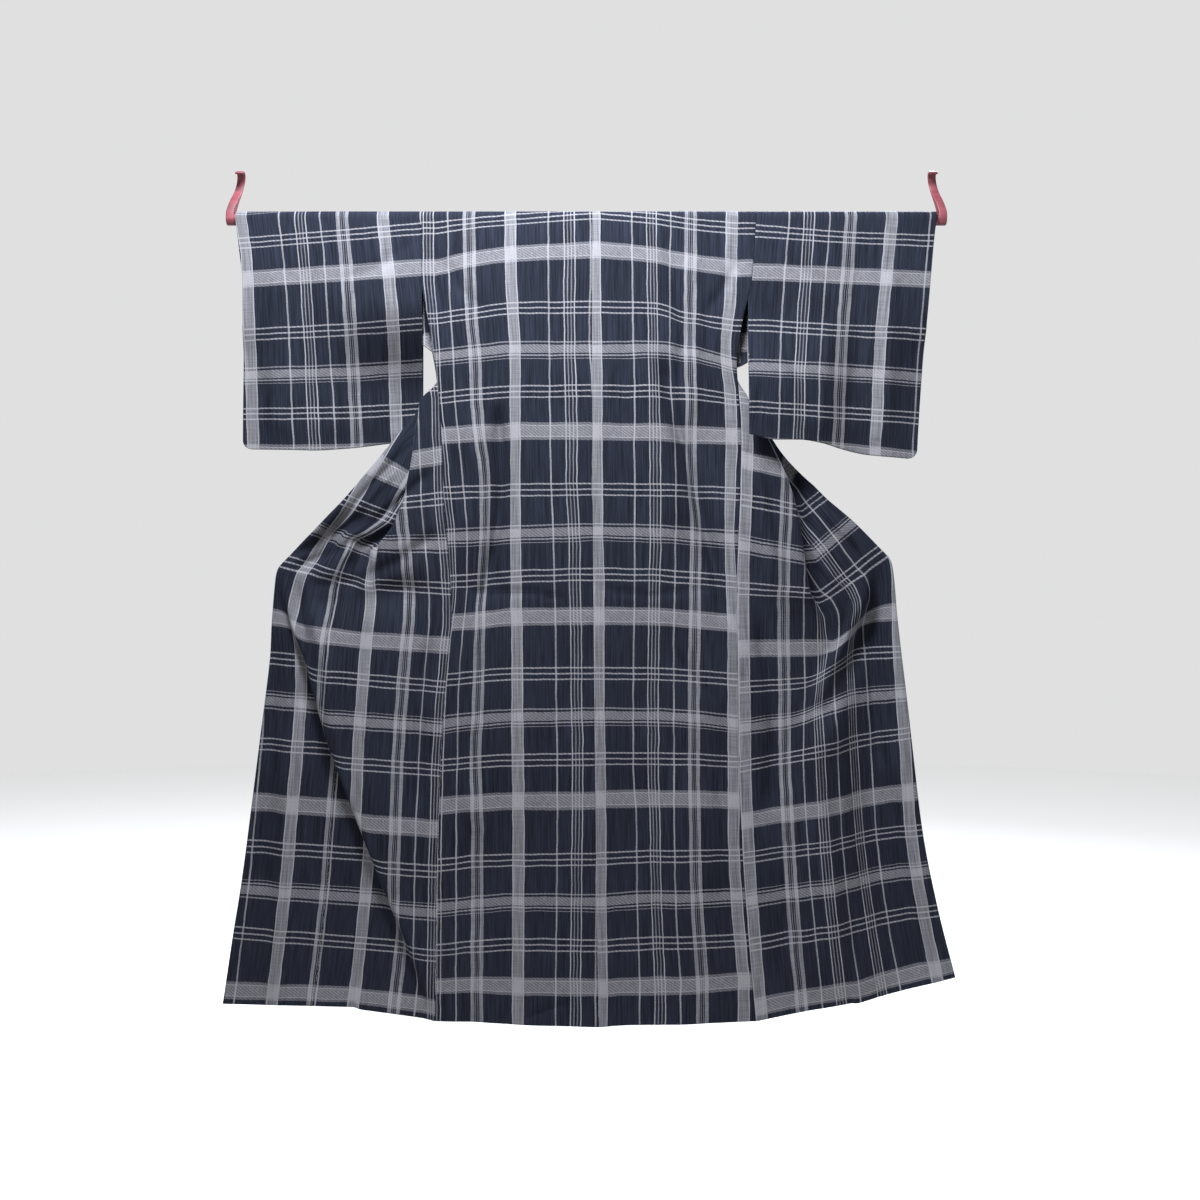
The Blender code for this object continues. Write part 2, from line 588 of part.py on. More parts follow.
def hanger_arm(side, name, dressed):
    """An arm cut from a flat board and leaned inwards above the rod."""
    outline = arm_outline()
    curve = bpy.data.curves.new(name, "CURVE")
    curve.dimensions = "2D"
    curve.fill_mode = "BOTH"
    curve.extrude = ARM_THICKNESS / 2
    spline = curve.splines.new("POLY")
    spline.points.add(len(outline) - 1)
    spline.points.foreach_set("co", np.pad(outline, ((0, 0), (0, 2))).ravel())
    spline.use_cyclic_u = True
    drawn = bpy.data.objects.new(name + "_outline", curve)
    KIMONO.objects.link(drawn)
    mesh = bpy.data.meshes.new_from_object(
        drawn.evaluated_get(bpy.context.evaluated_depsgraph_get()))
    bpy.data.objects.remove(drawn)
    stand_up = Matrix(((0, 0, 1, 0), (1, 0, 0, 0), (0, 1, 0, 0), (0, 0, 0, 1)))
    mesh.transform(stand_up)
    shape = bmesh.new()
    shape.from_mesh(mesh)
    bmesh.ops.remove_doubles(shape, verts=shape.verts, dist=0.00002)
    for point in shape.verts:
        rise = max(0.0, point.co.z - (ROD_Z + ROD_RADIUS))
        point.co.x += ARM_X[side] - side * ARM_LEAN * rise
    bmesh.ops.recalc_face_normals(shape, faces=shape.faces)
    shape.to_mesh(mesh)
    shape.free()
    mesh.name = name
    mesh.materials.append(dressed)
    arm = bpy.data.objects.new(name, mesh)
    KIMONO.objects.link(arm)


def move_to_collection(thing):
    """Keep a new object in the kimono's collection alone."""
    for holder in list(thing.users_collection):
        holder.objects.unlink(thing)
    KIMONO.objects.link(thing)


for old in list(bpy.data.objects):
    bpy.data.objects.remove(old)
KIMONO = bpy.data.collections.new("denim_kimono")
bpy.context.scene.collection.children.link(KIMONO)

denim = material("indigo_denim", DENIM, 0.85)
red_wood = material("red_stained_wood", RED_WOOD, 0.35)

for side, word in ((-1, "left"), (1, "right")):
    cloth_panel("body_" + word, body_points(side), denim)
    cloth_panel("okumi_" + word, okumi_points(side), denim)
    sleeve = sleeve_points(side)
    cloth_panel("sleeve_" + word, sleeve, denim, extra_faces=sleeve_seams(sleeve))
    hanger_arm(side, "hanger_arm_" + word, red_wood)
cloth_panel("collar", collar_points(), denim, wall=COLLAR_WALL)
hanger_rod(red_wood)
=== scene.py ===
"""Dressed scene of a denim kimono hung on its hanger rod, seen from its back.

Metres, +Z up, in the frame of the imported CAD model: the origin lies on the axis of the rail
that the hanger arms hook over, -Y is the garment's back and +X the viewer's right.

Every cloth panel is a grid of points on the same form as its CAD solid, with finer rows,
creases, rolled seams and turned-in edges added. Each point also knows its place on the
woven cloth in metres, so the check lies where the photograph shows it.
"""
from __future__ import annotations

import logging
import math
from dataclasses import dataclass, field
from enum import Enum
from typing import NamedTuple, Sequence

import bpy
import numpy as np
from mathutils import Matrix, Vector

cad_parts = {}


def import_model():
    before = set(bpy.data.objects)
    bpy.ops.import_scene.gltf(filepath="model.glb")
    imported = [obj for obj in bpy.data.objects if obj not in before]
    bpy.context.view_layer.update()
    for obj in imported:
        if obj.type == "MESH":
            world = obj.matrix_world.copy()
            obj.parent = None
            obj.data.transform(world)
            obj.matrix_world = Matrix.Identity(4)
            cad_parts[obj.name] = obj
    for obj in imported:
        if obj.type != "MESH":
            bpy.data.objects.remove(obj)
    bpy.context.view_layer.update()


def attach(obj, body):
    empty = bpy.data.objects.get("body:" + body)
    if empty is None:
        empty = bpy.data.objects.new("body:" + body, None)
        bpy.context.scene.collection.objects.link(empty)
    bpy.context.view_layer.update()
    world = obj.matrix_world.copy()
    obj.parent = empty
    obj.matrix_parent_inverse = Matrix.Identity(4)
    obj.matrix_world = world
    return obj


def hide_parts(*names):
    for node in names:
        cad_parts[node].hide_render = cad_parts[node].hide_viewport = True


LOG = logging.getLogger("denim_kimono")

MM = 0.001
CLOTH_WALL = 0.0012
CLOTH_MAP = "cloth"

# How far from its hem a body panel's lowest rows lie, and the last of its even rows
HEM_ROWS = np.array([0.0145, 0.010, 0.006, 0.003, 0.0012, 0.0])
LAST_EVEN_ROW = 0.018


class Side(Enum):
    """Which half of the garment a piece belongs to, with its sign along X."""

    LEFT = -1
    RIGHT = 1

    @property
    def word(self) -> str:
        """The side's name as the CAD nodes spell it."""
        return self.name.lower()


class Edge(Enum):
    """An edge of a grid of points, with its axis and the end of the axis where it lies."""

    FIRST_COLUMN = (1, 0)
    LAST_COLUMN = (1, -1)
    FIRST_ROW = (0, 0)
    LAST_ROW = (0, -1)


def ease(t: np.ndarray | float) -> np.ndarray:
    """Smooth step from 0 to 1 while t goes from 0 to 1."""
    t = np.clip(t, 0.0, 1.0)
    return t * t * (3 - 2 * t)


def bell(away: np.ndarray, half_width: float) -> np.ndarray:
    """A bell curve, 1 in its middle and 0.37 at its half width."""
    return np.exp(-((away / half_width) ** 2))


def rolled_edge(away: np.ndarray) -> np.ndarray:
    """How far cloth rolls in beside a seam or edge: 0.9 mm, over the last 3 mm or so."""
    return 0.0009 * bell(away, 0.0022)


def smooth(x: np.ndarray | float, xs: Sequence[float], ys: Sequence[float]) -> np.ndarray:
    """A smooth curve through points, read at x.

    Between each two points it is a cubic whose slopes are the harmonic means of the
    neighbouring rises, so it never overshoots. Beyond the ends it keeps the end's value.

    Args:
        x: Where the curve is read.
        xs: The points' places, going up.
        ys: The points' values.

    Returns:
        The curve's values at x.
    """
    at, value = np.asarray(xs, float), np.asarray(ys, float)
    rise = np.diff(value) / np.diff(at)
    slope = np.concatenate([rise[:1], np.zeros(len(at) - 2), rise[-1:]])
    turns = rise[:-1] * rise[1:] <= 0
    mean = 2 * rise[:-1] * rise[1:] / np.where(turns, 1.0, rise[:-1] + rise[1:])
    slope[1:-1] = np.where(turns, 0.0, mean)
    x = np.clip(x, at[0], at[-1])
    left = np.clip(np.searchsorted(at, x) - 1, 0, len(at) - 2)
    span = at[left + 1] - at[left]
    t = (x - at[left]) / span
    start = value[left] * (1 + 2 * t) * (1 - t) ** 2 + slope[left] * span * t * (1 - t) ** 2
    end = value[left + 1] * t * t * (3 - 2 * t) - slope[left + 1] * span * t * t * (1 - t)
    return start + end


def read_between(value: np.ndarray, knots: np.ndarray, marks: np.ndarray) -> np.ndarray:
    """Marks read linearly between knots that differ from point to point.

    Args:
        value: The points' values, of any shape.
        knots: The knots at each point, going up along an added last axis.
        marks: What each knot stands for.

    Returns:
        The mark at each value, with the end slopes kept beyond the end knots.
    """
    slopes = np.diff(marks) / np.diff(knots, axis=-1)
    bends = np.diff(slopes, axis=-1)
    past = np.maximum(value[..., None] - knots[..., 1:-1], 0.0)
    return marks[0] + (value - knots[..., 0]) * slopes[..., 0] + (bends * past).sum(axis=-1)


def run_length(points: np.ndarray, axis: int = 0) -> np.ndarray:
    """The way along a line of points from its first point to each one.

    Args:
        points: The points, with their coordinates along the last axis.
        axis: The axis along which the lines run.

    Returns:
        The lengths, one for each point.
    """
    steps = np.linalg.norm(np.diff(points, axis=axis), axis=-1)
    start = np.zeros_like(np.take(steps, [0], axis=axis))
    return np.concatenate([start, np.cumsum(steps, axis=axis)], axis=axis)


def kept_steps(fine: int, step: int) -> np.ndarray:
    """Which of some fine even columns a mesh keeps: a few narrow ones at both ends.

    Args:
        fine: The last fine column's number.
        step: How many fine columns a kept one spans between the ends.

    Returns:
        The kept columns' numbers, going up.
    """
    narrow = (0, 1, 3, 6, 10)
    inner = range(narrow[-1] + step, fine - narrow[-1] - step // 2, step)
    return np.array([*narrow, *inner, *(fine - place for place in reversed(narrow))])


class Curve(NamedTuple):
    """A curve through a few measured points, each a place and the value there, going up."""

    points: tuple[tuple[float, float], ...]

    def at(self, x: np.ndarray) -> np.ndarray:
        """The curve's values at x, with smooth bends."""
        return smooth(x, *zip(*self.points))

    def straight(self, x: np.ndarray) -> np.ndarray:
        """The curve's values at x, straight from point to point."""
        return np.interp(x, *zip(*self.points))


class SideSizes(NamedTuple):
    """Sizes that differ between the garment's halves.

    free_edge: how far out a sleeve's free inner edge lies; joined_to: how far below the
    shoulder the front is sewn to the sleeve; waves: how many soft waves the front's spare
    cloth makes, and to which side first; body_mark, okumi_mark: the place across each
    panel's own cloth that lies at the side seam, or would if the overlap reached so far;
    arm_at: where the hanger arm's foot stands along the rod; push: how far the front beside
    it pushes the sleeve's lower inner corner; push_from, push_all: how far out that starts
    and is full.
    """

    free_edge: float
    joined_to: float
    waves: float
    body_mark: float
    okumi_mark: float
    arm_at: float
    push: float
    push_from: float
    push_all: float


SIDE_SIZES: dict[Side, SideSizes] = {
    Side.LEFT: SideSizes(
        free_edge=0.3345, joined_to=0.272, waves=2.0, body_mark=-0.169, okumi_mark=-0.332,
        arm_at=-0.718, push=0.066, push_from=0.600, push_all=0.410),
    Side.RIGHT: SideSizes(
        free_edge=0.3150, joined_to=0.308, waves=-1.5, body_mark=0.012, okumi_mark=0.376,
        arm_at=0.704, push=-0.034, push_from=0.560, push_all=0.400),
}


class FrontRow(NamedTuple):
    """One measured weft line of a front.

    depth: below the shoulder along the side; edge_*: where the front edge lies; width: cloth
    from side to edge; fold_at, swag_at: how far out from the side the upper and the lower
    fold start; swag: share of the spare cloth in the lower fold; sag: how far the line dips
    at its fold; ripple: share of the spare cloth in soft waves; step: share of the line's
    rise that it takes where those begin; waves_at: cloth from the side seam to them;
    fold_dip: share of the sag reached at the fold's edge.
    """

    depth: float
    edge_out: float
    edge_y: float
    edge_z: float
    width: float
    fold_at: float
    swag_at: float
    swag: float
    sag: float
    ripple: float
    step: float
    waves_at: float
    fold_dip: float


def front_rows(*rows: tuple[float, ...]) -> tuple[FrontRow, ...]:
    """Rows of a front out of plain numbers."""
    return tuple(FrontRow(*row) for row in rows)


FRONT_ROWS: dict[Side, tuple[FrontRow, ...]] = {
    Side.LEFT: front_rows(
        (0.0, -0.004, 0.0147, -0.06, 0.34, -0.03, 0.4, 0.0, 0.0, 0.0, 0.0, 0.17, 0.2),
        (0.018, -0.004, 0.0147, -0.078, 0.34, -0.03, 0.4, 0.0, 0.0, 0.0, 0.0, 0.17, 0.2),
        (0.035, 0.043, 0.014, -0.092, 0.3, -0.03, 0.4, 0.0, 0.0, 0.0, 0.0, 0.17, 0.2),
        (0.06, 0.076, 0.0165, -0.116, 0.27, -0.03, 0.4, 0.0, 0.0, 0.0, 0.0, 0.17, 0.2),
        (0.1, 0.119, 0.0295, -0.157, 0.25, -0.03, 0.4, 0.0, 0.0, 0.0, 0.0, 0.17, 0.2),
        (0.16, 0.165, 0.033, -0.21, 0.251, -0.03, 0.4, 0.0, 0.0, 0.0, 0.0, 0.17, 0.2),
        (0.23, 0.216, 0.0345, -0.272, 0.262, -0.03, 0.4, 0.0, 0.0, 0.0, 0.0, 0.17, 0.2),
        (0.3, 0.256, 0.035, -0.334, 0.28, -0.022, 0.4, 0.0, 0.005, 0.0, 0.0, 0.17, 0.2),
        (0.36, 0.294, 0.035, -0.396, 0.298, 0.008, 0.4, 0.0, 0.015, 0.0, 0.0, 0.17, 0.2),
        (0.412, 0.352, 0.035, -0.457, 0.314, 0.05, 0.4, 0.0, 0.03, 0.0, 0.0, 0.17, 0.2),
        (0.488, 0.44, 0.035, -0.562, 0.334, 0.066, 0.4, 0.0, 0.038, 0.0, 0.0, 0.17, 0.2),
        (0.574, 0.499, 0.035, -0.631, 0.352, 0.088, 0.39, 0.0, 0.042, 0.0, 0.0, 0.17, 0.2),
        (0.625, 0.531, 0.036, -0.664, 0.361, 0.112, 0.38, 0.0, 0.040, 0.3, 0.0, 0.17, 0.25),
        (0.666, 0.556, 0.037, -0.69, 0.369, 0.14, 0.38, 0.0, 0.034, 0.85, 0.0, 0.16, 0.35),
        (0.756, 0.621, 0.04, -0.757, 0.384, 0.15, 0.36, 0.15, 0.018, 0.85, 0.0, 0.17, 0.7),
        (0.768, 0.6315, 0.04, -0.769, 0.385, 0.15, 0.358, 0.3, 0.015, 0.7, 0.1, 0.17, 0.7),
        (0.782, 0.636, 0.0395, -0.784, 0.385, 0.15, 0.355, 0.5, 0.014, 0.5, 0.2, 0.17, 0.7),
        (0.81, 0.639, 0.0388, -0.813, 0.385, 0.15, 0.348, 0.8, 0.01, 0.2, 0.4, 0.17, 0.7),
        (0.866, 0.643, 0.037, -0.868, 0.388, 0.15, 0.325, 1, 0.006, 0.0, 0.4, 0.17, 0.7),
        (0.95, 0.648, 0.033, -0.951, 0.398, 0.15, 0.29, 1, 0.0, 0.0, 0.4, 0.17, 0.7),
        (1.09, 0.663, 0.024, -1.097, 0.411, 0.15, 0.235, 1, 0.0, 0.0, 0.4, 0.17, 0.7),
        (1.236, 0.68, 0.018, -1.243, 0.417, 0.15, 0.17, 1, 0.0, 0.0, 0.4, 0.17, 0.7),
        (1.386, 0.7, 0.014, -1.4, 0.424, 0.15, 0.1, 1, 0.0, 0.0, 0.3, 0.17, 0.7),
        (1.49, 0.716, 0.01, -1.505, 0.428, 0.15, 0.048, 1, 0.0, 0.0, 0.1, 0.17, 0.7),
        (1.615, 0.736, 0.006, -1.643, 0.431, 0.15, -0.01, 1, -0.013, 0.0, 0.0, 0.17, 0.7),
    ),
    Side.RIGHT: front_rows(
        (0.0, 0.004, 0.0147, -0.06, 0.332, -0.03, 0.4, 0.0, 0.0, 0.0, 0.0, 0.28, 0.8),
        (0.018, 0.004, 0.0147, -0.078, 0.332, -0.03, 0.4, 0.0, 0.0, 0.0, 0.0, 0.28, 0.8),
        (0.035, 0.049, 0.014, -0.097, 0.292, -0.03, 0.4, 0.0, 0.0, 0.0, 0.0, 0.28, 0.8),
        (0.06, 0.078, 0.0175, -0.124, 0.262, -0.03, 0.4, 0.0, 0.0, 0.0, 0.0, 0.28, 0.8),
        (0.1, 0.117, 0.0295, -0.17, 0.25, -0.03, 0.4, 0.0, 0.0, 0.0, 0.0, 0.28, 0.8),
        (0.16, 0.159, 0.033, -0.226, 0.251, -0.03, 0.4, 0.0, 0.0, 0.0, 0.0, 0.28, 0.8),
        (0.23, 0.206, 0.0345, -0.291, 0.26, -0.03, 0.4, 0.0, 0.0, 0.0, 0.0, 0.28, 0.8),
        (0.3, 0.254, 0.036, -0.355, 0.272, -0.018, 0.4, 0.0, 0.003, 0.0, 0.0, 0.28, 0.8),
        (0.36, 0.303, 0.0375, -0.418, 0.284, 0.012, 0.4, 0.0, 0.006, 0.0, 0.0, 0.28, 0.8),
        (0.43, 0.353, 0.039, -0.486, 0.3, 0.05, 0.4, 0.0, 0.012, 0.0, 0.0, 0.28, 0.8),
        (0.5, 0.408, 0.039, -0.56, 0.316, 0.092, 0.4, 0.0, 0.02, 0.0, 0.0, 0.28, 0.85),
        (0.576, 0.472, 0.039, -0.623, 0.334, 0.121, 0.38, 0.0, 0.03, 0.0, 0.0, 0.28, 0.85),
        (0.666, 0.534, 0.04, -0.676, 0.349, 0.14, 0.35, 0.0, 0.052, 0.0, 0.0, 0.28, 0.85),
        (0.754, 0.593, 0.042, -0.735, 0.364, 0.153, 0.31, 0.0, 0.061, 0.10, 0.0, 0.262, 0.7),
        (0.766, 0.605, 0.042, -0.747, 0.366, 0.158, 0.305, 0.0, 0.056, 0.25, 0.05, 0.255, 0.7),
        (0.782, 0.612, 0.042, -0.764, 0.368, 0.162, 0.3, 0.0, 0.046, 0.6, 0.15, 0.245, 0.7),
        (0.812, 0.616, 0.041, -0.795, 0.37, 0.165, 0.28, 0.0, 0.028, 0.95, 0.4, 0.225, 0.7),
        (0.876, 0.621, 0.038, -0.861, 0.374, 0.185, 0.25, 0.0, 0.008, 1.0, 0.9, 0.182, 0.5),
        (0.952, 0.629, 0.034, -0.94, 0.381, 0.19, 0.25, 0.0, 0.0, 1.0, 0.7, 0.14, 0.5),
        (1.052, 0.64, 0.026, -1.043, 0.387, 0.19, 0.25, 0.0, 0.0, 1.0, 0.3, 0.1, 0.5),
        (1.136, 0.649, 0.022, -1.13, 0.391, 0.19, 0.25, 0.0, 0.0, 1.0, 0.0, 0.08, 0.5),
        (1.292, 0.668, 0.016, -1.297, 0.399, 0.19, 0.25, 0.0, 0.0, 1.0, 0.0, 0.08, 0.5),
        (1.466, 0.699, 0.01, -1.458, 0.406, 0.19, 0.25, 0.0, 0.0, 1.0, 0.0, 0.08, 0.5),
        (1.615, 0.732, 0.006, -1.59, 0.412, 0.19, 0.25, 0.0, 0.007, 1.0, 0.0, 0.08, 0.5),
    ),
}

# How far out the back's side edge lies at a height
SIDE_OUT: dict[Side, Curve] = {
    Side.LEFT: Curve((
        (-1.672, 0.309), (-1.386, 0.305), (-1.156, 0.298), (-1.006, 0.288), (-0.908, 0.279),
        (-0.872, 0.276), (-0.792, 0.279), (-0.618, 0.293), (-0.470, 0.298), (-0.378, 0.308),
        (-0.316, 0.316), (-0.252, 0.327), (-0.202, 0.335), (-0.059, 0.336))),
    Side.RIGHT: Curve((
        (-1.672, 0.331), (-1.502, 0.316), (-1.324, 0.304), (-1.166, 0.298), (-1.000, 0.296),
        (-0.872, 0.294), (-0.792, 0.294), (-0.618, 0.300), (-0.506, 0.302), (-0.424, 0.297),
        (-0.362, 0.293), (-0.274, 0.305), (-0.202, 0.322), (-0.059, 0.332))),
}

# How far out a sleeve's outer edge lies at a height
SLEEVE_OUTER: dict[Side, Curve] = {
    Side.LEFT: Curve((
        (-0.560, 0.694), (-0.508, 0.694), (-0.316, 0.692), (-0.202, 0.692), (-0.132, 0.699),
        (-0.059, 0.708))),
    Side.RIGHT: Curve((
        (-0.560, 0.653), (-0.508, 0.6555), (-0.354, 0.6655), (-0.205, 0.6775), (-0.100, 0.687),
        (-0.059, 0.6935))),
}

# How low a sleeve's bottom lies at a distance from the middle
SLEEVE_BOTTOM: dict[Side, Curve] = {
    Side.LEFT: Curve((
        (0.336, -0.509), (0.402, -0.514), (0.496, -0.527), (0.576, -0.534), (0.690, -0.532))),
    Side.RIGHT: Curve((
        (0.312, -0.504), (0.372, -0.516), (0.418, -0.516), (0.468, -0.522), (0.508, -0.532),
        (0.570, -0.544), (0.654, -0.551))),
}

# Which place along the cloth lies at a depth of a front. The cloth runs on from the back over
# the rod, and a hidden tuck at waist height takes up about 0.14 m, where the check jumps.
TUCK = (0.345, 0.3456)
FRONT_MARKS: dict[Side, Curve] = {
    Side.LEFT: Curve((
        (0.0138, -0.116), (0.345, -0.447), (0.3456, -0.596), (0.488, -0.732), (0.574, -0.814),
        (0.665, -0.896), (0.755, -0.983), (0.867, -1.098), (0.951, -1.180), (1.031, -1.262),
        (1.117, -1.349), (1.233, -1.464), (1.319, -1.546), (1.399, -1.628), (1.487, -1.715),
        (1.591, -1.830), (1.640, -1.884))),
    Side.RIGHT: Curve((
        (0.0138, -0.116), (0.345, -0.447), (0.3456, -0.585), (0.499, -0.732), (0.575, -0.814),
        (0.665, -0.896), (0.753, -0.983), (0.875, -1.098), (0.951, -1.180), (1.031, -1.262),
        (1.109, -1.349), (1.219, -1.464), (1.291, -1.546), (1.375, -1.628), (1.465, -1.715),
        (1.591, -1.830), (1.640, -1.884))),
}


class BackFold(NamedTuple):
    """A wide soft trough (positive depth) or ridge of the hanging back."""

    x: float
    top: float
    bottom: float
    half_width: float
    depth: float

    def push(self, x: np.ndarray, z: np.ndarray) -> np.ndarray:
        """How far the fold pushes points along +Y, fading out over 0.12 m at both ends."""
        along = ease((self.top - z) / 0.12) * ease((z - self.bottom) / 0.12)
        return self.depth * bell(x - self.x, self.half_width) * along


BACK_FOLDS: tuple[BackFold, ...] = (
    BackFold(-0.195, -0.44, -0.90, 0.034, 0.009),
    BackFold(-0.115, -0.95, -1.80, 0.050, -0.007),
    BackFold(-0.245, -1.05, -1.80, 0.040, 0.007),
    BackFold(0.060, -1.10, -1.80, 0.055, 0.008),
    BackFold(0.215, -0.42, -0.86, 0.036, 0.010),
    BackFold(0.190, -1.00, -1.80, 0.045, -0.007),
    BackFold(0.000, -0.30, -1.00, 0.060, -0.004),
)


@dataclass(frozen=True)
class Crease:
    """A soft trough (positive depth) or ridge along a path, seen from the front or back."""

    path: tuple[tuple[float, float], ...]
    half_width: float
    depth: float
    ends: float = 0.05

    def push(self, x: np.ndarray, z: np.ndarray) -> np.ndarray:
        """How far the crease pushes points along +Y.

        A bell curve of the distance to the path, fading out over the length `ends` at both
        of its ends.

        Args:
            x: The points' places across.
            z: The points' heights.

        Returns:
            The push of each point.
        """
        points = np.array(self.path)
        runs = np.hypot(*np.diff(points, axis=0).T)
        total = runs.sum()
        nearest = np.full(np.broadcast(x, z).shape, np.inf)
        place = np.zeros_like(nearest)
        for start, end, run, before in zip(points[:-1], points[1:], runs,
                                           np.cumsum(runs) - runs):
            way = (end - start) / run
            t = np.clip((x - start[0]) * way[0] + (z - start[1]) * way[1], 0.0, run)
            away = np.hypot(x - start[0] - t * way[0], z - start[1] - t * way[1])
            closer = away < nearest
            nearest = np.where(closer, away, nearest)
            place = np.where(closer, before + t, place)
        fade = ease(place / self.ends + 0.5) * ease((total - place) / self.ends + 0.5)
        return self.depth * bell(nearest, self.half_width) * fade


BACK_CREASES: tuple[Crease, ...] = (
    Crease(((-0.183, -0.46), (-0.176, -0.60), (-0.190, -0.72), (-0.215, -0.83)), 0.012, 0.0187),
    Crease(((-0.240, -0.46), (-0.234, -0.56), (-0.238, -0.70)), 0.026, -0.01),
    Crease(((-0.219, -0.49), (-0.200, -0.62), (-0.170, -0.80)), 0.010, -0.0056),
    Crease(((0.1455, -0.368), (0.175, -0.487), (0.215, -0.63), (0.255, -0.786),
            (0.266, -0.86)), 0.014, 0.0187),
    Crease(((0.112, -0.40), (0.140, -0.52), (0.172, -0.68)), 0.024, -0.0075),
    Crease(((0.150, -0.10), (0.168, -0.20), (0.184, -0.30), (0.178, -0.42)), 0.014, 0.0094),
    Crease(((0.205, -0.14), (0.214, -0.28), (0.208, -0.45)), 0.012, -0.0056),
    Crease(((-0.275, -0.806), (-0.20, -0.822), (-0.12, -0.818), (-0.055, -0.832)), 0.005, 0.0063),
    Crease(((0.02, -0.812), (0.12, -0.826), (0.25, -0.806)), 0.005, 0.005),
    Crease(((0.171, -0.945), (0.205, -0.985), (0.247, -1.031)), 0.008, 0.0041),
    Crease(((-0.127, -1.664), (-0.085, -1.648), (-0.042, -1.634)), 0.007, 0.0056),
    Crease(((-0.29, -1.20), (-0.24, -1.32), (-0.215, -1.50)), 0.016, 0.0056),
    Crease(((0.285, -1.05), (0.262, -1.22), (0.268, -1.42)), 0.015, 0.0066),
    Crease(((-0.06, -0.16), (-0.075, -0.30), (-0.068, -0.46)), 0.016, 0.0046),
    Crease(((0.06, -0.15), (0.072, -0.34), (0.066, -0.50)), 0.015, 0.0046),
    Crease(((-0.30, -0.15), (-0.262, -0.21), (-0.21, -0.26)), 0.012, 0.0056),
    Crease(((0.31, -0.14), (0.275, -0.20), (0.235, -0.26)), 0.012, 0.0056),
    Crease(((-0.09, -1.10), (-0.10, -1.30), (-0.092, -1.55)), 0.018, 0.0056),
    Crease(((0.12, -1.16), (0.128, -1.36), (0.14, -1.60)), 0.017, 0.0056),
)

FRONT_CREASES: dict[Side, tuple[Crease, ...]] = {
    Side.LEFT: (
        Crease(((-0.345, -0.50), (-0.44, -0.60), (-0.52, -0.69), (-0.60, -0.745)), 0.010, 0.0105),
        Crease(((-0.320, -0.58), (-0.42, -0.665), (-0.50, -0.73), (-0.59, -0.765)), 0.011, 0.0105),
        Crease(((-0.400, -0.58), (-0.48, -0.66), (-0.56, -0.725)), 0.008, -0.0063),
        Crease(((-0.300, -0.70), (-0.39, -0.76), (-0.48, -0.80), (-0.57, -0.80)), 0.014, 0.0105),
        Crease(((-0.34, -0.815), (-0.45, -0.83), (-0.57, -0.835)), 0.034, 0.021),
        Crease(((-0.600, -0.79), (-0.575, -0.90), (-0.578, -1.05)), 0.014, 0.0126),
        Crease(((-0.560, -0.84), (-0.525, -0.98), (-0.512, -1.12)), 0.016, -0.0126),
        Crease(((-0.640, -0.92), (-0.646, -1.15), (-0.662, -1.40)), 0.018, 0.0105),
        Crease(((-0.320, -0.92), (-0.345, -1.06), (-0.338, -1.24)), 0.016, 0.0105),
        Crease(((-0.600, -1.10), (-0.612, -1.35), (-0.630, -1.62)), 0.020, -0.0105),
    ),
    Side.RIGHT: (
        Crease(((0.372, -0.515), (0.412, -0.588), (0.436, -0.679), (0.442, -0.741),
                (0.460, -0.830), (0.485, -0.917)), 0.014, 0.0175),
        Crease(((0.400, -0.50), (0.448, -0.585), (0.482, -0.66), (0.53, -0.715)), 0.010, -0.0084),
        Crease(((0.563, -0.872), (0.543, -0.907), (0.523, -0.955), (0.495, -1.014),
                (0.460, -1.076)), 0.028, 0.028),
        Crease(((0.330, -0.56), (0.352, -0.68), (0.372, -0.80)), 0.014, -0.0084),
        Crease(((0.340, -0.90), (0.368, -1.06), (0.362, -1.24)), 0.016, 0.0105),
        Crease(((0.585, -0.84), (0.575, -0.98), (0.588, -1.16)), 0.014, 0.0105),
        Crease(((0.470, -1.14), (0.500, -1.32), (0.535, -1.56)), 0.020, 0.0105),
        Crease(((0.400, -1.20), (0.415, -1.40), (0.445, -1.60)), 0.018, -0.0105),
        Crease(((0.610, -1.20), (0.632, -1.40), (0.662, -1.58)), 0.018, 0.0084),
    ),
}

SLEEVE_CREASES: dict[Side, tuple[Crease, ...]] = {
    Side.LEFT: (
        Crease(((-0.342, -0.35), (-0.358, -0.42), (-0.40, -0.50)), 0.030, 0.009),
        Crease(((-0.56, -0.16), (-0.57, -0.30), (-0.56, -0.46)), 0.018, 0.006),
        Crease(((-0.62, -0.20), (-0.632, -0.34), (-0.625, -0.50)), 0.016, -0.006),
        Crease(((-0.36, -0.12), (-0.42, -0.17), (-0.50, -0.20)), 0.012, 0.0045),
        Crease(((-0.50, -0.30), (-0.505, -0.40), (-0.515, -0.51)), 0.016, -0.0045),
    ),
    Side.RIGHT: (
        Crease(((0.36, -0.26), (0.40, -0.35), (0.43, -0.47)), 0.014, 0.0075),
        Crease(((0.53, -0.15), (0.535, -0.30), (0.525, -0.46)), 0.018, 0.006),
        Crease(((0.60, -0.18), (0.598, -0.34), (0.585, -0.50)), 0.016, -0.006),
        Crease(((0.35, -0.12), (0.41, -0.17), (0.48, -0.21)), 0.012, 0.0045),
        Crease(((0.47, -0.30), (0.468, -0.41), (0.472, -0.51)), 0.016, -0.0045),
    ),
}

# The check's repeat across and along the cloth, in whole millimetres, and the places of its
# lengthwise stripes and crosswise bands
REPEAT_MM = (278, 366)
WARP_MARKS = (-163, -124, -82, 0, 76, 115, 154, 196, 278, 354)
WEFT_MARKS = np.add.outer(REPEAT_MM[1] * np.arange(5), (-82, 0, 115, 202)).ravel()


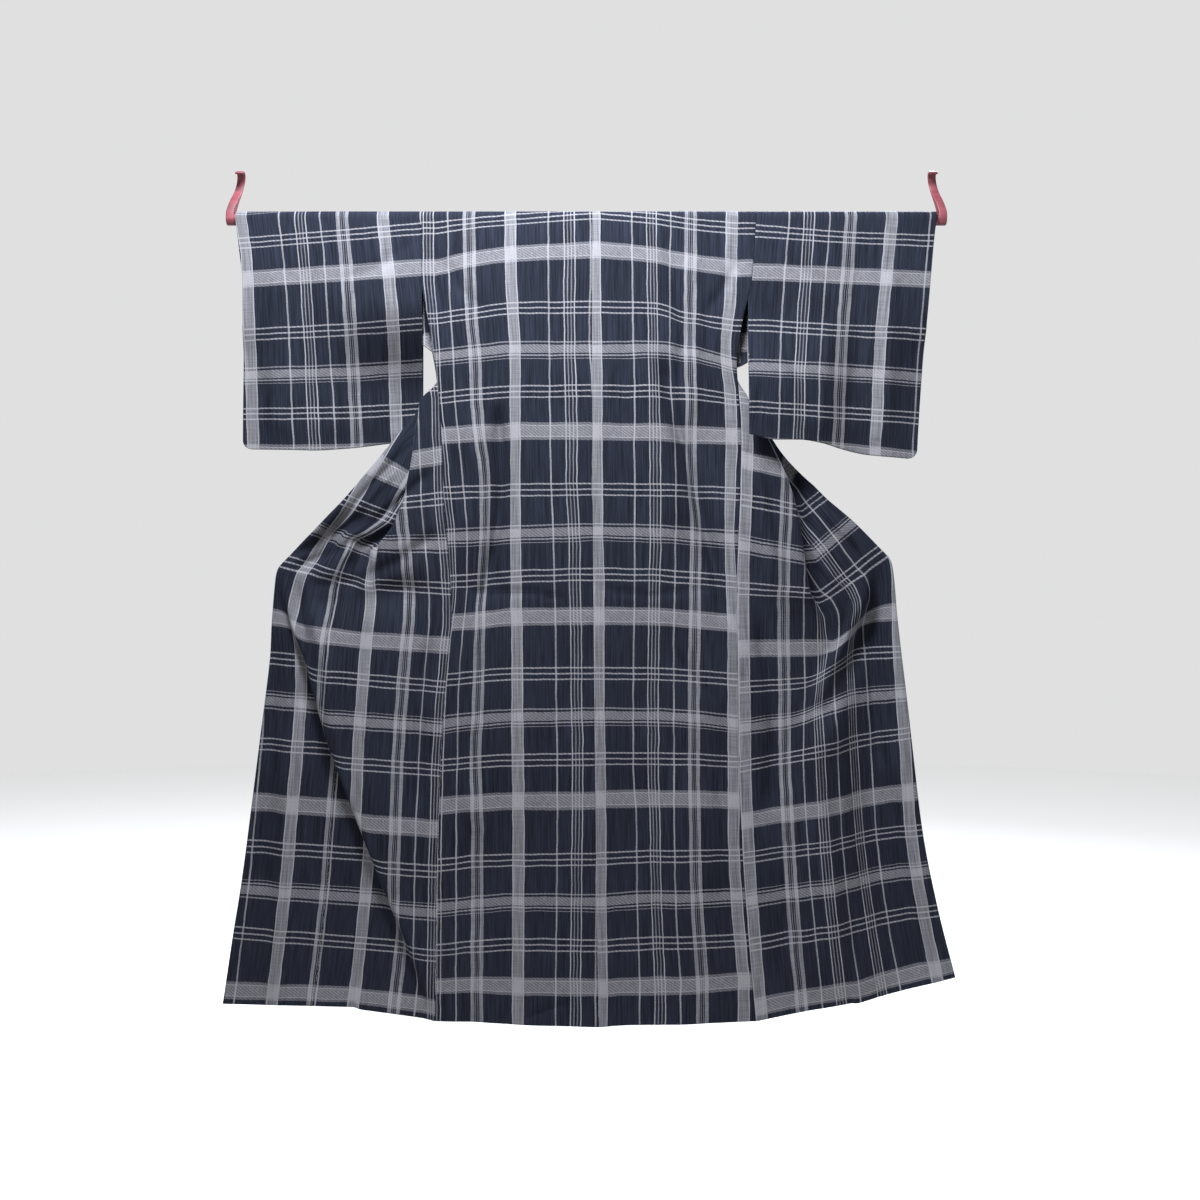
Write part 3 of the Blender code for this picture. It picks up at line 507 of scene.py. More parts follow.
@dataclass(frozen=True)
class CheckMap:
    """Where the woven check lies on a hanging panel, measured in whole millimetres.

    marks: places of the lengthwise stripes on the cloth; warp: at each height, where each of
    them lies; weft: at each place across, the heights of the crosswise bands from the top.
    """

    marks: tuple[int, ...]
    warp: dict[int, tuple[int, ...]]
    weft: dict[int, tuple[int, ...]]

    @staticmethod
    def lines(table: dict[int, tuple[int, ...]], at: np.ndarray) -> np.ndarray:
        """Where each stripe lies, read smoothly between the table's rows.

        Args:
            table: Each stripe's place, for each measured height or place across.
            at: The points' heights or places across.

        Returns:
            The stripes' places at each point, along an added last axis.
        """
        rows = sorted(table)
        stripes = MM * np.array([table[row] for row in rows]).T
        return np.stack([smooth(at, MM * np.array(rows), stripe) for stripe in stripes],
                        axis=-1)

    def read(self, x: np.ndarray, z: np.ndarray) -> np.ndarray:
        """Places on the cloth of points of the hanging panel.

        Args:
            x: The points' places across.
            z: The points' heights.

        Returns:
            Each point's place across and along the cloth, in metres.
        """
        across, along = self.lines(self.warp, z), -self.lines(self.weft, x)
        return np.stack([
            read_between(x, across, MM * np.array(self.marks)),
            read_between(-z, along, MM * WEFT_MARKS[:along.shape[-1]]),
        ], axis=-1)


BACK_CHECKS: dict[Side, CheckMap] = {
    Side.LEFT: CheckMap(
        marks=WARP_MARKS[:6],
        warp={
            -67: (-322, -283, -242, -159, -84, -42),
            -167: (-322, -282, -240, -158, -84, -41),
            -266: (-315, -277, -237, -153, -83, -42),
            -336: (-310, -273, -230, -149, -82, -41),
            -436: (-306, -269, -226, -149, -82, -38),
            -515: (-297, -261, -218, -149, -80, -37),
            -595: (-291, -253, -208, -150, -79, -37),
            -695: (-280, -245, -210, -150, -74, -32),
            -814: (-275, -246, -218, -148, -72, -30),
            -914: (-287, -255, -221, -146, -69, -28),
            -1033: (-297, -263, -223, -145, -68, -27),
            -1153: (-303, -264, -230, -143, -66, -25),
            -1292: (-307, -267, -225, -142, -66, -26),
            -1591: (-309, -267, -226, -143, -69, -29),
        },
        weft={
            -307: (
                -93, -172, -273, -350, -432, -505, -620, -711, -799, -880, -995, -1085, -1165,
                -1243, -1363, -1448, -1533, -1604),
            -229: (
                -83, -153, -262, -342, -424, -501, -618, -707, -794, -875, -986, -1074, -1157,
                -1238, -1355, -1441, -1525, -1600),
            -149: (
                -76, -143, -252, -335, -419, -496, -614, -703, -787, -867, -980, -1068, -1152,
                -1232, -1350, -1433, -1517, -1600),
            16: (
                -64, -135, -250, -336, -417, -497, -613, -698, -782, -865, -979, -1065, -1150,
                -1232, -1349, -1436, -1522, -1604),
        }),
    Side.RIGHT: CheckMap(
        marks=WARP_MARKS[3:9],
        warp={
            -67: (9, 82, 122, 161, 200, 282),
            -217: (10, 84, 124, 159, 199, 280),
            -336: (12, 86, 126, 159, 199, 270),
            -426: (13, 88, 128, 163, 201, 279),
            -515: (13, 87, 129, 169, 200, 282),
            -625: (14, 88, 130, 171, 206, 279),
            -695: (14, 88, 130, 171, 212, 278),
            -814: (18, 87, 128, 168, 210, 282),
            -914: (18, 86, 126, 167, 208, 285),
            -1033: (18, 85, 125, 167, 206, 285),
            -1153: (21, 85, 125, 167, 206, 286),
            -1292: (21, 92, 129, 168, 208, 286),
            -1431: (21, 93, 132, 170, 212, 292),
            -1591: (23, 98, 139, 180, 223, 306),
        },
        weft={
            20: (
                -65, -135, -250, -336, -418, -498, -613, -698, -782, -865, -979, -1065, -1149,
                -1230, -1348, -1437, -1523, -1606),
            122: (
                -74, -145, -252, -334, -418, -499, -614, -701, -784, -866, -980, -1066, -1149,
                -1228, -1344, -1429, -1517, -1601),
            199: (
                -85, -160, -273, -342, -422, -503, -616, -706, -789, -872, -984, -1070, -1150,
                -1228, -1342, -1427, -1514, -1598),
            289: (
                -94, -172, -288, -366, -434, -506, -621, -714, -797, -880, -992, -1082, -1156,
                -1234, -1342, -1425, -1512, -1593),
        }),
}

SLEEVE_CHECKS: dict[Side, CheckMap] = {
    Side.LEFT: CheckMap(
        marks=WARP_MARKS[3:9],
        warp={
            -67: (-697, -622, -578, -539, -495, -414),
            -167: (-683, -610, -569, -528, -486, -403),
            -316: (-679, -600, -560, -520, -476, -391),
            -436: (-676, -597, -555, -512, -470, -389),
            -515: (-673, -594, -551, -508, -466, -386),
        },
        weft={
            -687: (-123, -194, -305, -386, -462, -539),
            -512: (-109, -183, -296, -382, -460, -539),
            -334: (-94, -171, -283, -371, -452, -533),
        }),
    Side.RIGHT: CheckMap(
        marks=WARP_MARKS[4:],
        warp={
            -67: (397, 437, 479, 519, 601, 678),
            -167: (388, 431, 471, 513, 592, 668),
            -296: (380, 422, 462, 503, 580, 658),
            -386: (378, 418, 458, 499, 575, 652),
            -456: (377, 418, 457, 497, 573, 649),
            -515: (374, 416, 456, 495, 569, 644),
        },
        weft={
            339: (-99, -181, -286, -370, -448, -523),
            498: (-111, -187, -296, -379, -460, -535),
            667: (-118, -195, -303, -391, -471, -555),
        }),
}


@dataclass(frozen=True)
class Srgb:
    """A colour as it is read off a screen."""

    code: str

    def linear(self) -> tuple[float, float, float, float]:
        """The colour in linear light, as shaders take it."""
        parts = (int(self.code[i:i + 2], 16) / 255 for i in (1, 3, 5))
        red, green, blue = (
            c / 12.92 if c <= 0.04045 else ((c + 0.055) / 1.055) ** 2.4 for c in parts)
        return red, green, blue, 1.0


class NodeBoard:
    """A material's node tree, filled one node at a time."""

    def __init__(self, name: str) -> None:
        """Start a material with only a Principled shader and its output."""
        self.material = bpy.data.materials.new(name)
        self.material.use_nodes = True
        self.tree = self.material.node_tree
        self.shader = self.tree.nodes["Principled BSDF"]

    def add(self, kind: str, inputs: dict | Sequence = (), **settings: object) -> bpy.types.Node:
        """Add one node.

        Args:
            kind: The node's type, without the ShaderNode that all share.
            inputs: What its inputs read, as feed takes it.
            settings: The node's own properties.

        Returns:
            The new node.
        """
        node = self.tree.nodes.new("ShaderNode" + kind)
        for name, value in settings.items():
            setattr(node, name, value)
        self.feed(node, inputs)
        return node

    def feed(self, node: bpy.types.Node, inputs: dict | Sequence) -> None:
        """Set or link the inputs of a node.

        Args:
            node: The node.
            inputs: What they read, by their names or in their order: each a value, a socket
                or another node, whose first output is meant.
        """
        named = inputs if isinstance(inputs, dict) else dict(enumerate(inputs))
        for name, value in named.items():
            source = value.outputs[0] if isinstance(value, bpy.types.Node) else value
            if isinstance(source, bpy.types.NodeSocket):
                self.tree.links.new(source, node.inputs[name])
            else:
                node.inputs[name].default_value = source


class Stripe(NamedTuple):
    """One stripe of the check: where it begins and ends in the repeat, and how pale it is."""

    start: float
    end: float
    pale: float


def line_group(centre: float, *lines: tuple[float, float, float]) -> tuple[Stripe, ...]:
    """Stripes placed about a centre, each given by its middle, its width and its paleness."""
    return tuple(Stripe(centre + at - wide / 2, centre + at + wide / 2, pale)
                 for at, wide, pale in lines)


@dataclass(frozen=True)
class IndigoCheckDenim:
    """Matt indigo cotton denim with a woven grey-lavender check.

    The stripes run on the piece's own cloth map, in metres, so they follow every fold and
    are cut at the seams as woven cloth is. Yarns are drawn coarser than the real ones, which
    are too fine to show.

    ground, stripe: the cloth's dark and pale yarns; shift: how far before the map's zero the
    repeat starts; warp, weft: its stripes; palest: where crossing stripes stop adding up;
    wander: how far stripes stray from ruled lines; hatch_turn, rib_turn: radians a metre of
    the pale wefts' hatching (6 mm apart) and the twill ribs (2.4 mm); hatch_lean: how steep
    the hatching runs; hatch, rib: how strongly they show; slub, cross_slub, fleck: how many
    times a metre uneven yarns change, across and along the cloth.
    """

    ground: Srgb = Srgb("#101219")
    stripe: Srgb = Srgb("#928f91")
    shift: float = 0.030
    warp: tuple[Stripe, ...] = (
        line_group(0.030, (-0.0108, 0.0022, 0.38), (0.0, 0.0194, 0.20), (0.0108, 0.0022, 0.38))
        + line_group(0.106, (0.0, 0.0032, 0.24))
        + line_group(0.145, (-0.0098, 0.0028, 0.34), (-0.0035, 0.0018, 0.17),
                     (0.0035, 0.0018, 0.17), (0.0098, 0.0028, 0.34))
        + line_group(0.184, (0.0, 0.0032, 0.24))
        + line_group(0.226, (-0.009, 0.0075, 0.22), (-0.0022, 0.0015, 0.20),
                     (0.0022, 0.0015, 0.20), (0.009, 0.0075, 0.22))
    )
    weft: tuple[Stripe, ...] = (
        line_group(0.030, (-0.0150, 0.005, 0.13), (-0.0113, 0.0022, 0.42), (0.0, 0.0204, 0.20),
                   (0.0113, 0.0022, 0.42), (0.0150, 0.005, 0.13))
        + line_group(0.145, (-0.011, 0.0027, 0.26), (0.0, 0.0027, 0.26), (0.011, 0.0027, 0.26))
        + line_group(0.232, (-0.017, 0.002, 0.18), (-0.003, 0.017, 0.17), (0.0105, 0.002, 0.22),
                     (0.017, 0.002, 0.18))
        + line_group(0.314, (-0.011, 0.0027, 0.26), (0.0, 0.0027, 0.26), (0.011, 0.0027, 0.26))
    )
    palest: float = 0.38
    wander: float = 0.004
    hatch_turn: float = 1050.0
    hatch_lean: float = 0.7
    hatch: float = 0.30
    rib_turn: float = 2618.0
    rib: float = 0.35
    slub: tuple[float, float] = (330.0, 9.0)
    cross_slub: tuple[float, float] = (16.0, 360.0)
    fleck: tuple[float, float] = (420.0, 60.0)

    def ramp(self, board: NodeBoard, place: bpy.types.Node, repeat: float,
             stripes: Sequence[Stripe]) -> bpy.types.Node:
        """How pale the cloth is at a place in the repeat, from a ramp with hard steps.

        Args:
            board: The material's nodes.
            place: The place on the cloth.
            repeat: The repeat's length.
            stripes: The stripes in one repeat, in their order.

        Returns:
            The ramp, whose colour is the paleness.
        """
        shifted = board.add("Math", (place, self.shift), operation="ADD")
        repeats = board.add("Math", (shifted, repeat), operation="DIVIDE")
        ramp = board.add("ValToRGB", [board.add("Math", [repeats], operation="FRACT")])
        ramp.color_ramp.interpolation = "CONSTANT"
        stops = [(0.0, 0.0)]
        for here in stripes:
            # A stripe that touches the one before takes the place of the gap between them
            if stops[-1][0] > here.start / repeat - 1e-5:
                stops.pop()
            stops += [(here.start / repeat, here.pale), (here.end / repeat, 0.0)]
        elements = ramp.color_ramp.elements
        while len(elements) > 1:
            elements.remove(elements[-1])
        elements[0].position, elements[0].color = 0.0, (0, 0, 0, 1)
        for position, pale in stops[1:]:
            elements.new(position).color = (pale, pale, pale, 1)
        return ramp

    def streaks(self, board: NodeBoard, cloth: Sequence[bpy.types.NodeSocket],
                often: tuple[float, float]) -> bpy.types.Node:
        """Noise that changes so many times a metre across and along the cloth.

        Args:
            board: The material's nodes.
            cloth: The places across and along the cloth.
            often: How often a metre across and how often a metre along.

        Returns:
            The noise, about 0.5.
        """
        scaled = [board.add("Math", (place, times), operation="MULTIPLY")
                  for place, times in zip(cloth, often)]
        return board.add("TexNoise", {"Vector": board.add("CombineXYZ", scaled), "Scale": 1.0,
                                      "Detail": 2.0, "Roughness": 0.6})

    def uneven(self, board: NodeBoard, level: bpy.types.Node, noise: bpy.types.Node,
               low: float, high: float) -> bpy.types.Node:
        """A level made uneven: times noise, which is spread to run between two factors.

        Args:
            board: The material's nodes.
            level: The level.
            noise: The noise, mostly 0.25 to 0.75.
            low: The least factor.
            high: The greatest factor.

        Returns:
            The uneven level.
        """
        factor = board.add("MapRange", (noise, 0.25, 0.75, low, high))
        return board.add("Math", (level, factor), operation="MULTIPLY")

    def build(self) -> bpy.types.Material:
        """The material, ready for any piece that has a cloth map.

        Returns:
            The new material.
        """
        board = NodeBoard("indigo_check_denim")
        mapped = board.add("UVMap", uv_map=CLOTH_MAP)
        cloth = board.add("SeparateXYZ", [mapped]).outputs[:2]
        # Yarns wander a little, so the stripes' edges aren't ruled lines
        stray = board.add("TexNoise", {"Vector": mapped, "Scale": 22.0, "Detail": 2.0})
        stray = board.add("Math", (stray, 0.5), operation="SUBTRACT")
        stray = board.add("Math", (stray, self.wander), operation="MULTIPLY")
        warp, weft = (
            self.ramp(board, board.add("Math", (place, stray), operation="ADD"), MM * repeat,
                      stripes)
            for place, repeat, stripes in zip(cloth, REPEAT_MM, (self.warp, self.weft)))
        # Slubs: uneven yarns, seen as long thin light and dark streaks down the cloth and
        # shorter ones across it. Real yarns are about 0.5 mm, drawn here at about 2 mm.
        down, level, fleck = (self.streaks(board, cloth, often)
                              for often in (self.slub, self.cross_slub, self.fleck))
        warp = self.uneven(board, warp, level, 0.74, 1.26)
        warp = self.uneven(board, warp, down, 0.55, 1.45)
        weft = self.uneven(board, weft, fleck, 0.70, 1.30)
        # The pale wefts show as twill hatching, up to the right
        across, along = cloth
        slanted = board.add("Math", (across, -self.hatch_lean, along), operation="MULTIPLY_ADD")
        turned = board.add("Math", (slanted, self.hatch_turn), operation="MULTIPLY")
        lines = board.add("Math", [turned], operation="SINE")
        lines = board.add("Math", (lines, self.hatch, 1.0), operation="MULTIPLY_ADD")
        weft = board.add("Math", (weft, lines), operation="MULTIPLY")
        both = board.add("Math", (warp, weft), operation="ADD")
        pale = board.add("Math", (both, self.palest), operation="MINIMUM")
        # The dark ground is streaked too, and a little worn in broad soft patches
        worn = board.add("TexNoise", {"Vector": mapped, "Scale": 5.0, "Detail": 3.0})
        ground = self.ground.linear()
        for noise, low, high in ((down, 0.30, 1.70), (worn, 0.80, 1.20)):
            factor = board.add("MapRange", (noise, 0.25, 0.75, low, high))
            ground = board.add("MixRGB", (1.0, ground, factor), blend_type="MULTIPLY")
        colour = board.add("MixRGB", (pale, ground, self.stripe.linear()))
        # Twill ribs run up to the right. Real ones are 0.6 mm apart.
        ribs = board.add("Math", cloth, operation="ADD")
        turned = board.add("Math", (ribs, self.rib_turn), operation="MULTIPLY")
        ribs = board.add("Math", [turned], operation="SINE")
        yarns = board.add("Math", (down, fleck), operation="ADD")
        relief = board.add("Math", (ribs, self.rib, yarns), operation="MULTIPLY_ADD")
        bump = board.add("Bump", {"Height": relief, "Strength": 0.22, "Distance": 0.0006})
        board.feed(board.shader, {
            "Base Color": colour, "Roughness": 0.86, "Specular IOR Level": 0.05,
            "Sheen Weight": 0.06, "Sheen Roughness": 0.35,
            "Sheen Tint": Srgb("#b9c4e8").linear(), "Normal": bump})
        return board.material


@dataclass(frozen=True)
class RedStainedWood:
    """Red-stained hardwood under satin varnish, with a faint grain along the rod.

    dark, light: the grain's colours; grain: how many times a metre it changes in X, Y and Z.
    """

    dark: Srgb = Srgb("#3f161b")
    light: Srgb = Srgb("#5a262c")
    grain: tuple[float, float, float] = (6.0, 160.0, 60.0)

    def build(self) -> bpy.types.Material:
        """The material, drawn from object coordinates.

        Returns:
            The new material.
        """
        board = NodeBoard("red_stained_wood")
        place = board.add("TexCoord").outputs["Object"]
        drawn = board.add("Mapping", {"Vector": place, "Scale": self.grain})
        grain = board.add("TexNoise", {"Vector": drawn, "Scale": 1.0, "Detail": 4.0,
                                       "Roughness": 0.55})
        ramp = board.add("ValToRGB", [grain])
        ends = ((0.3, self.dark), (0.7, self.light))
        for element, (position, tone) in zip(ramp.color_ramp.elements, ends):
            element.position, element.color = position, tone.linear()
        board.feed(board.shader, {"Base Color": ramp, "Roughness": 0.55, "IOR": 1.4,
                                  "Specular IOR Level": 0.35})
        return board.material


@dataclass
class ClothGrid:
    """A grid of points on a sheet of cloth.

    points: the sheet's middle surface; cloth: each point's place on the woven cloth, across
    and along; inner: the direction from each point to the garment's inside.
    """

    points: np.ndarray
    cloth: np.ndarray
    inner: np.ndarray

    @classmethod
    def of(cls, points: np.ndarray, cloth: np.ndarray, flip: float) -> ClothGrid:
        """A grid whose inner side is the cross product of its columns and rows, times flip.

        Args:
            points: The points.
            cloth: Their places on the cloth.
            flip: 1 or -1.

        Returns:
            The grid.
        """
        normal = np.cross(np.gradient(points, axis=1), np.gradient(points, axis=0))
        length = np.linalg.norm(normal, axis=2, keepdims=True)
        return cls(points, cloth, flip * normal / np.maximum(length, 1e-12))

    def moved(self, push: np.ndarray) -> ClothGrid:
        """The same grid with each point pushed to the garment's inside by a length."""
        return ClothGrid(self.points + self.inner * push[..., None], self.cloth, self.inner)

    def turned_in(self, edge: Edge, steps: int, gap: float) -> ClothGrid:
        """The grid with one edge folded back on the inside.

        The turned strip repeats the last few rows or columns, a gap further in, after one
        row at the fold that stands half a gap in. Its cloth runs on past the edge.

        Args:
            edge: The edge that is folded.
            steps: How many rows or columns of the grid the strip covers.
            gap: Distance between the two layers' middle surfaces.

        Returns:
            The longer grid.
        """
        axis, end = edge.value
        from_edge = np.arange(steps + 1)
        near = from_edge if end == 0 else self.points.shape[axis] - 1 - from_edge
        points, cloth, inner = (np.take(part, near, axis=axis)
                                for part in (self.points, self.cloth, self.inner))
        in_by = np.where(from_edge == 0, gap / 2, gap)
        in_by = in_by[:, None, None] if axis == 0 else in_by[None, :, None]
        shown = np.take(cloth, [0], axis=axis)
        strip = (points + inner * in_by, 2 * shown - cloth, inner)
        pairs = zip(strip, (self.points, self.cloth, self.inner))
        if end == 0:
            return ClothGrid(*(np.concatenate([np.flip(new, axis), old], axis=axis)
                               for new, old in pairs))
        return ClothGrid(*(np.concatenate([old, new], axis=axis) for new, old in pairs))

    def sewn(self, edges: Sequence[Edge], gap: float) -> ClothGrid:
        """The grid with seam allowances along columns and deeper hems along rows.

        Args:
            edges: The edges that are turned in, one after another.
            gap: Distance between a seam's two layers. A hem is rolled, and has twice that.

        Returns:
            The longer grid.
        """
        grid = self
        for edge in edges:
            rolled = edge in (Edge.FIRST_ROW, Edge.LAST_ROW)
            grid = grid.turned_in(edge, 6 if rolled else 5, 2 * gap if rolled else gap)
        return grid


@dataclass(frozen=True)
class Workroom:
    """Makes pieces out of points, and says what each of them is."""

    cloth: bpy.types.Material
    wood: bpy.types.Material

    def piece(self, name: str, points: np.ndarray, faces: list[list[int]],
              finish: bpy.types.Material) -> bpy.types.Object:
        """A smooth mesh object, linked to the scene.

        Args:
            name: The piece's name.
            points: Its points, in an array of any shape.
            faces: Its faces, as numbers of the points.
            finish: Its material.

        Returns:
            The new object.
        """
        mesh = bpy.data.meshes.new(name)
        mesh.from_pydata(points.reshape(-1, 3).tolist(), [], faces)
        mesh.shade_smooth()
        mesh.materials.append(finish)
        made = bpy.data.objects.new(name, mesh)
        bpy.context.scene.collection.objects.link(made)
        return made

    def lay_check(self, piece: bpy.types.Object, cloth: np.ndarray) -> None:
        """Give a piece its cloth map.

        Args:
            piece: The piece.
            cloth: Each point's place across and along the cloth.
        """
        corners = np.empty(len(piece.data.loops), dtype=int)
        piece.data.loops.foreach_get("vertex_index", corners)
        layer = piece.data.uv_layers.new(name=CLOTH_MAP)
        layer.uv.foreach_set("vector", cloth.reshape(-1, 2)[corners].ravel())

    def panel(self, name: str, grid: ClothGrid,
              seams: Sequence[list[int]] = ()) -> bpy.types.Object:
        """One cloth panel as a thin closed shell.

        Args:
            name: The piece's name.
            grid: Its points and their places on the cloth.
            seams: Further faces that join edges of the grid, as numbers of its points.

        Returns:
            The new object.
        """
        rows, columns = grid.points.shape[:2]
        first = (np.arange(rows - 1)[:, None] * columns + np.arange(columns - 1)).ravel()
        faces = np.stack([first, first + 1, first + columns + 1, first + columns], axis=1)
        piece = self.piece(name, grid.points, [*faces.tolist(), *seams], self.cloth)
        self.lay_check(piece, grid.cloth)
        shell = piece.modifiers.new("Wall", "SOLIDIFY")
        shell.thickness = CLOTH_WALL
        shell.offset = 0.0
        return piece

    def tube(self, name: str, rings: np.ndarray,
             finish: bpy.types.Material) -> bpy.types.Object:
        """A closed solid between rings of points, with flat ends.

        Args:
            name: The piece's name.
            rings: The rings, a row of points each.
            finish: Its material.

        Returns:
            The new object.
        """
        rows, columns = rings.shape[:2]
        first = np.arange(rows - 1)[:, None] * columns
        here, after = np.arange(columns), np.roll(np.arange(columns), -1)
        sides = np.stack([first + here, first + after, first + columns + after,
                          first + columns + here], axis=2).reshape(-1, 4)
        ends = [here[::-1].tolist(), (first[-1] + columns + here).tolist()]
        return self.piece(name, rings, sides.tolist() + ends, finish)

    def hand_over(self, piece: bpy.types.Object, node: str) -> None:
        """Say that a piece rides on the part's body and stands for its CAD node.

        Args:
            piece: The piece.
            node: The CAD node that it replaces.
        """
        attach(piece, "root")
        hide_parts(node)
        LOG.info("made %s, %d faces", piece.name, len(piece.data.polygons))

    def hand_over_sheet(self, piece: bpy.types.Object, node: str) -> None:
        """Hand over a sheet of denim, as any other piece.

        Args:
            piece: The piece.
            node: The CAD node that it replaces.
        """
        self.hand_over(piece, node)


@dataclass(frozen=True)
class Garment:
    """The surface that the cloth panels hang in, and the sizes that they share.

    over_rod: from the rod's axis to the cloth's middle; rod_z, hem_z: heights of that axis
    and of the back's hem at the side; hem_dip: how much lower the hem lies at the centre;
    centre_top, centre_hem: where the centre-back seam runs; half_gap: half of the gap at the
    side and centre seams; turn_gap: between a seam's two layers; side_forward: how far the
    side edges come forward where the fronts turn, from turn_from on; billow: how far the
    back stands out low down, from billow_from on; folds_from: how high the folds start;
    seen_from, seen_at: the photograph's distance, and the point that it looks at.
    """

    over_rod: float = 0.0147
    rod_z: float = -0.0725
    hem_z: float = -1.674
    hem_dip: float = 0.010
    centre_top: float = 0.004
    centre_hem: float = 0.018
    half_gap: float = 0.00061
    turn_gap: float = 0.0015
    side_forward: float = 0.006
    turn_from: float = -0.30
    billow: float = 0.006
    billow_from: float = -0.5
    folds_from: float = -0.12
    seen_from: float = 3.2
    seen_at: tuple[float, float] = (0.02, -0.834)

    @property
    def shoulder_z(self) -> float:
        """Height of the cloth's top, over the rod."""
        return self.rod_z + self.over_rod

    @property
    def hem_depth(self) -> float:
        """The back's length from the shoulder to the hem."""
        return self.shoulder_z - self.hem_z

    def side_out(self, side: Side, z: np.ndarray) -> np.ndarray:
        """How far out the back's side edge lies."""
        return SIDE_OUT[side].at(z)

    def side_y(self, z: np.ndarray) -> np.ndarray:
        """Depth of the side edge: flat under the rod, drawn forward where the fronts turn."""
        return -self.over_rod + self.side_forward * ease((self.turn_from - z) / 0.14)

    def centre_x(self, z: np.ndarray) -> np.ndarray:
        """Where the centre-back seam lies."""
        share = (self.shoulder_z - z) / self.hem_depth
        return self.centre_top + (self.centre_hem - self.centre_top) * share ** 2

    def back_y(self, x: np.ndarray, z: np.ndarray, out_share: np.ndarray) -> np.ndarray:
        """Depth of the hanging back: its side edges' depth, and soft folds that fade there.

        Args:
            x: The points' places across.
            z: The points' heights.
            out_share: How far out each lies, from 0 at the centre to 1 at the side edge.

        Returns:
            The depth of each point.
        """
        folds = sum(fold.push(x, z) for fold in BACK_FOLDS)
        forward = self.side_y(z) + self.over_rod
        billow = -self.billow * ease((self.billow_from - z) / 0.8)
        hang = ease((self.folds_from - z) / 0.3)
        inner = ease((1 - out_share) / 0.25)
        return -self.over_rod + forward * out_share ** 2 + (billow + folds) * inner * hang

    def over_rod_points(self, x: np.ndarray, rows: int) -> np.ndarray:
        """Points over the rod, on half circles from its back to its front.

        Args:
            x: The columns' places along the rod.
            rows: How many equal steps the half circles have. Their ends are left out.

        Returns:
            The points, a row for each angle.
        """
        angles = self.rod_angles(rows)[:, None] + 0 * x
        return np.stack([
            x + 0 * angles, -self.over_rod * np.cos(angles),
            self.rod_z + self.over_rod * np.sin(angles)], axis=2)

    def over_rod_cloth(self, before: np.ndarray, rows: int) -> np.ndarray:
        """Places on the cloth of the points over the rod, which run on from the row before."""
        along = self.over_rod * self.rod_angles(rows)
        return before - np.stack([0 * along, along], axis=1)[:, None]

    @staticmethod
    def rod_angles(rows: int) -> np.ndarray:
        """The angles of the rows of points over the rod."""
        return np.linspace(0, math.pi, rows + 1)[1:-1]


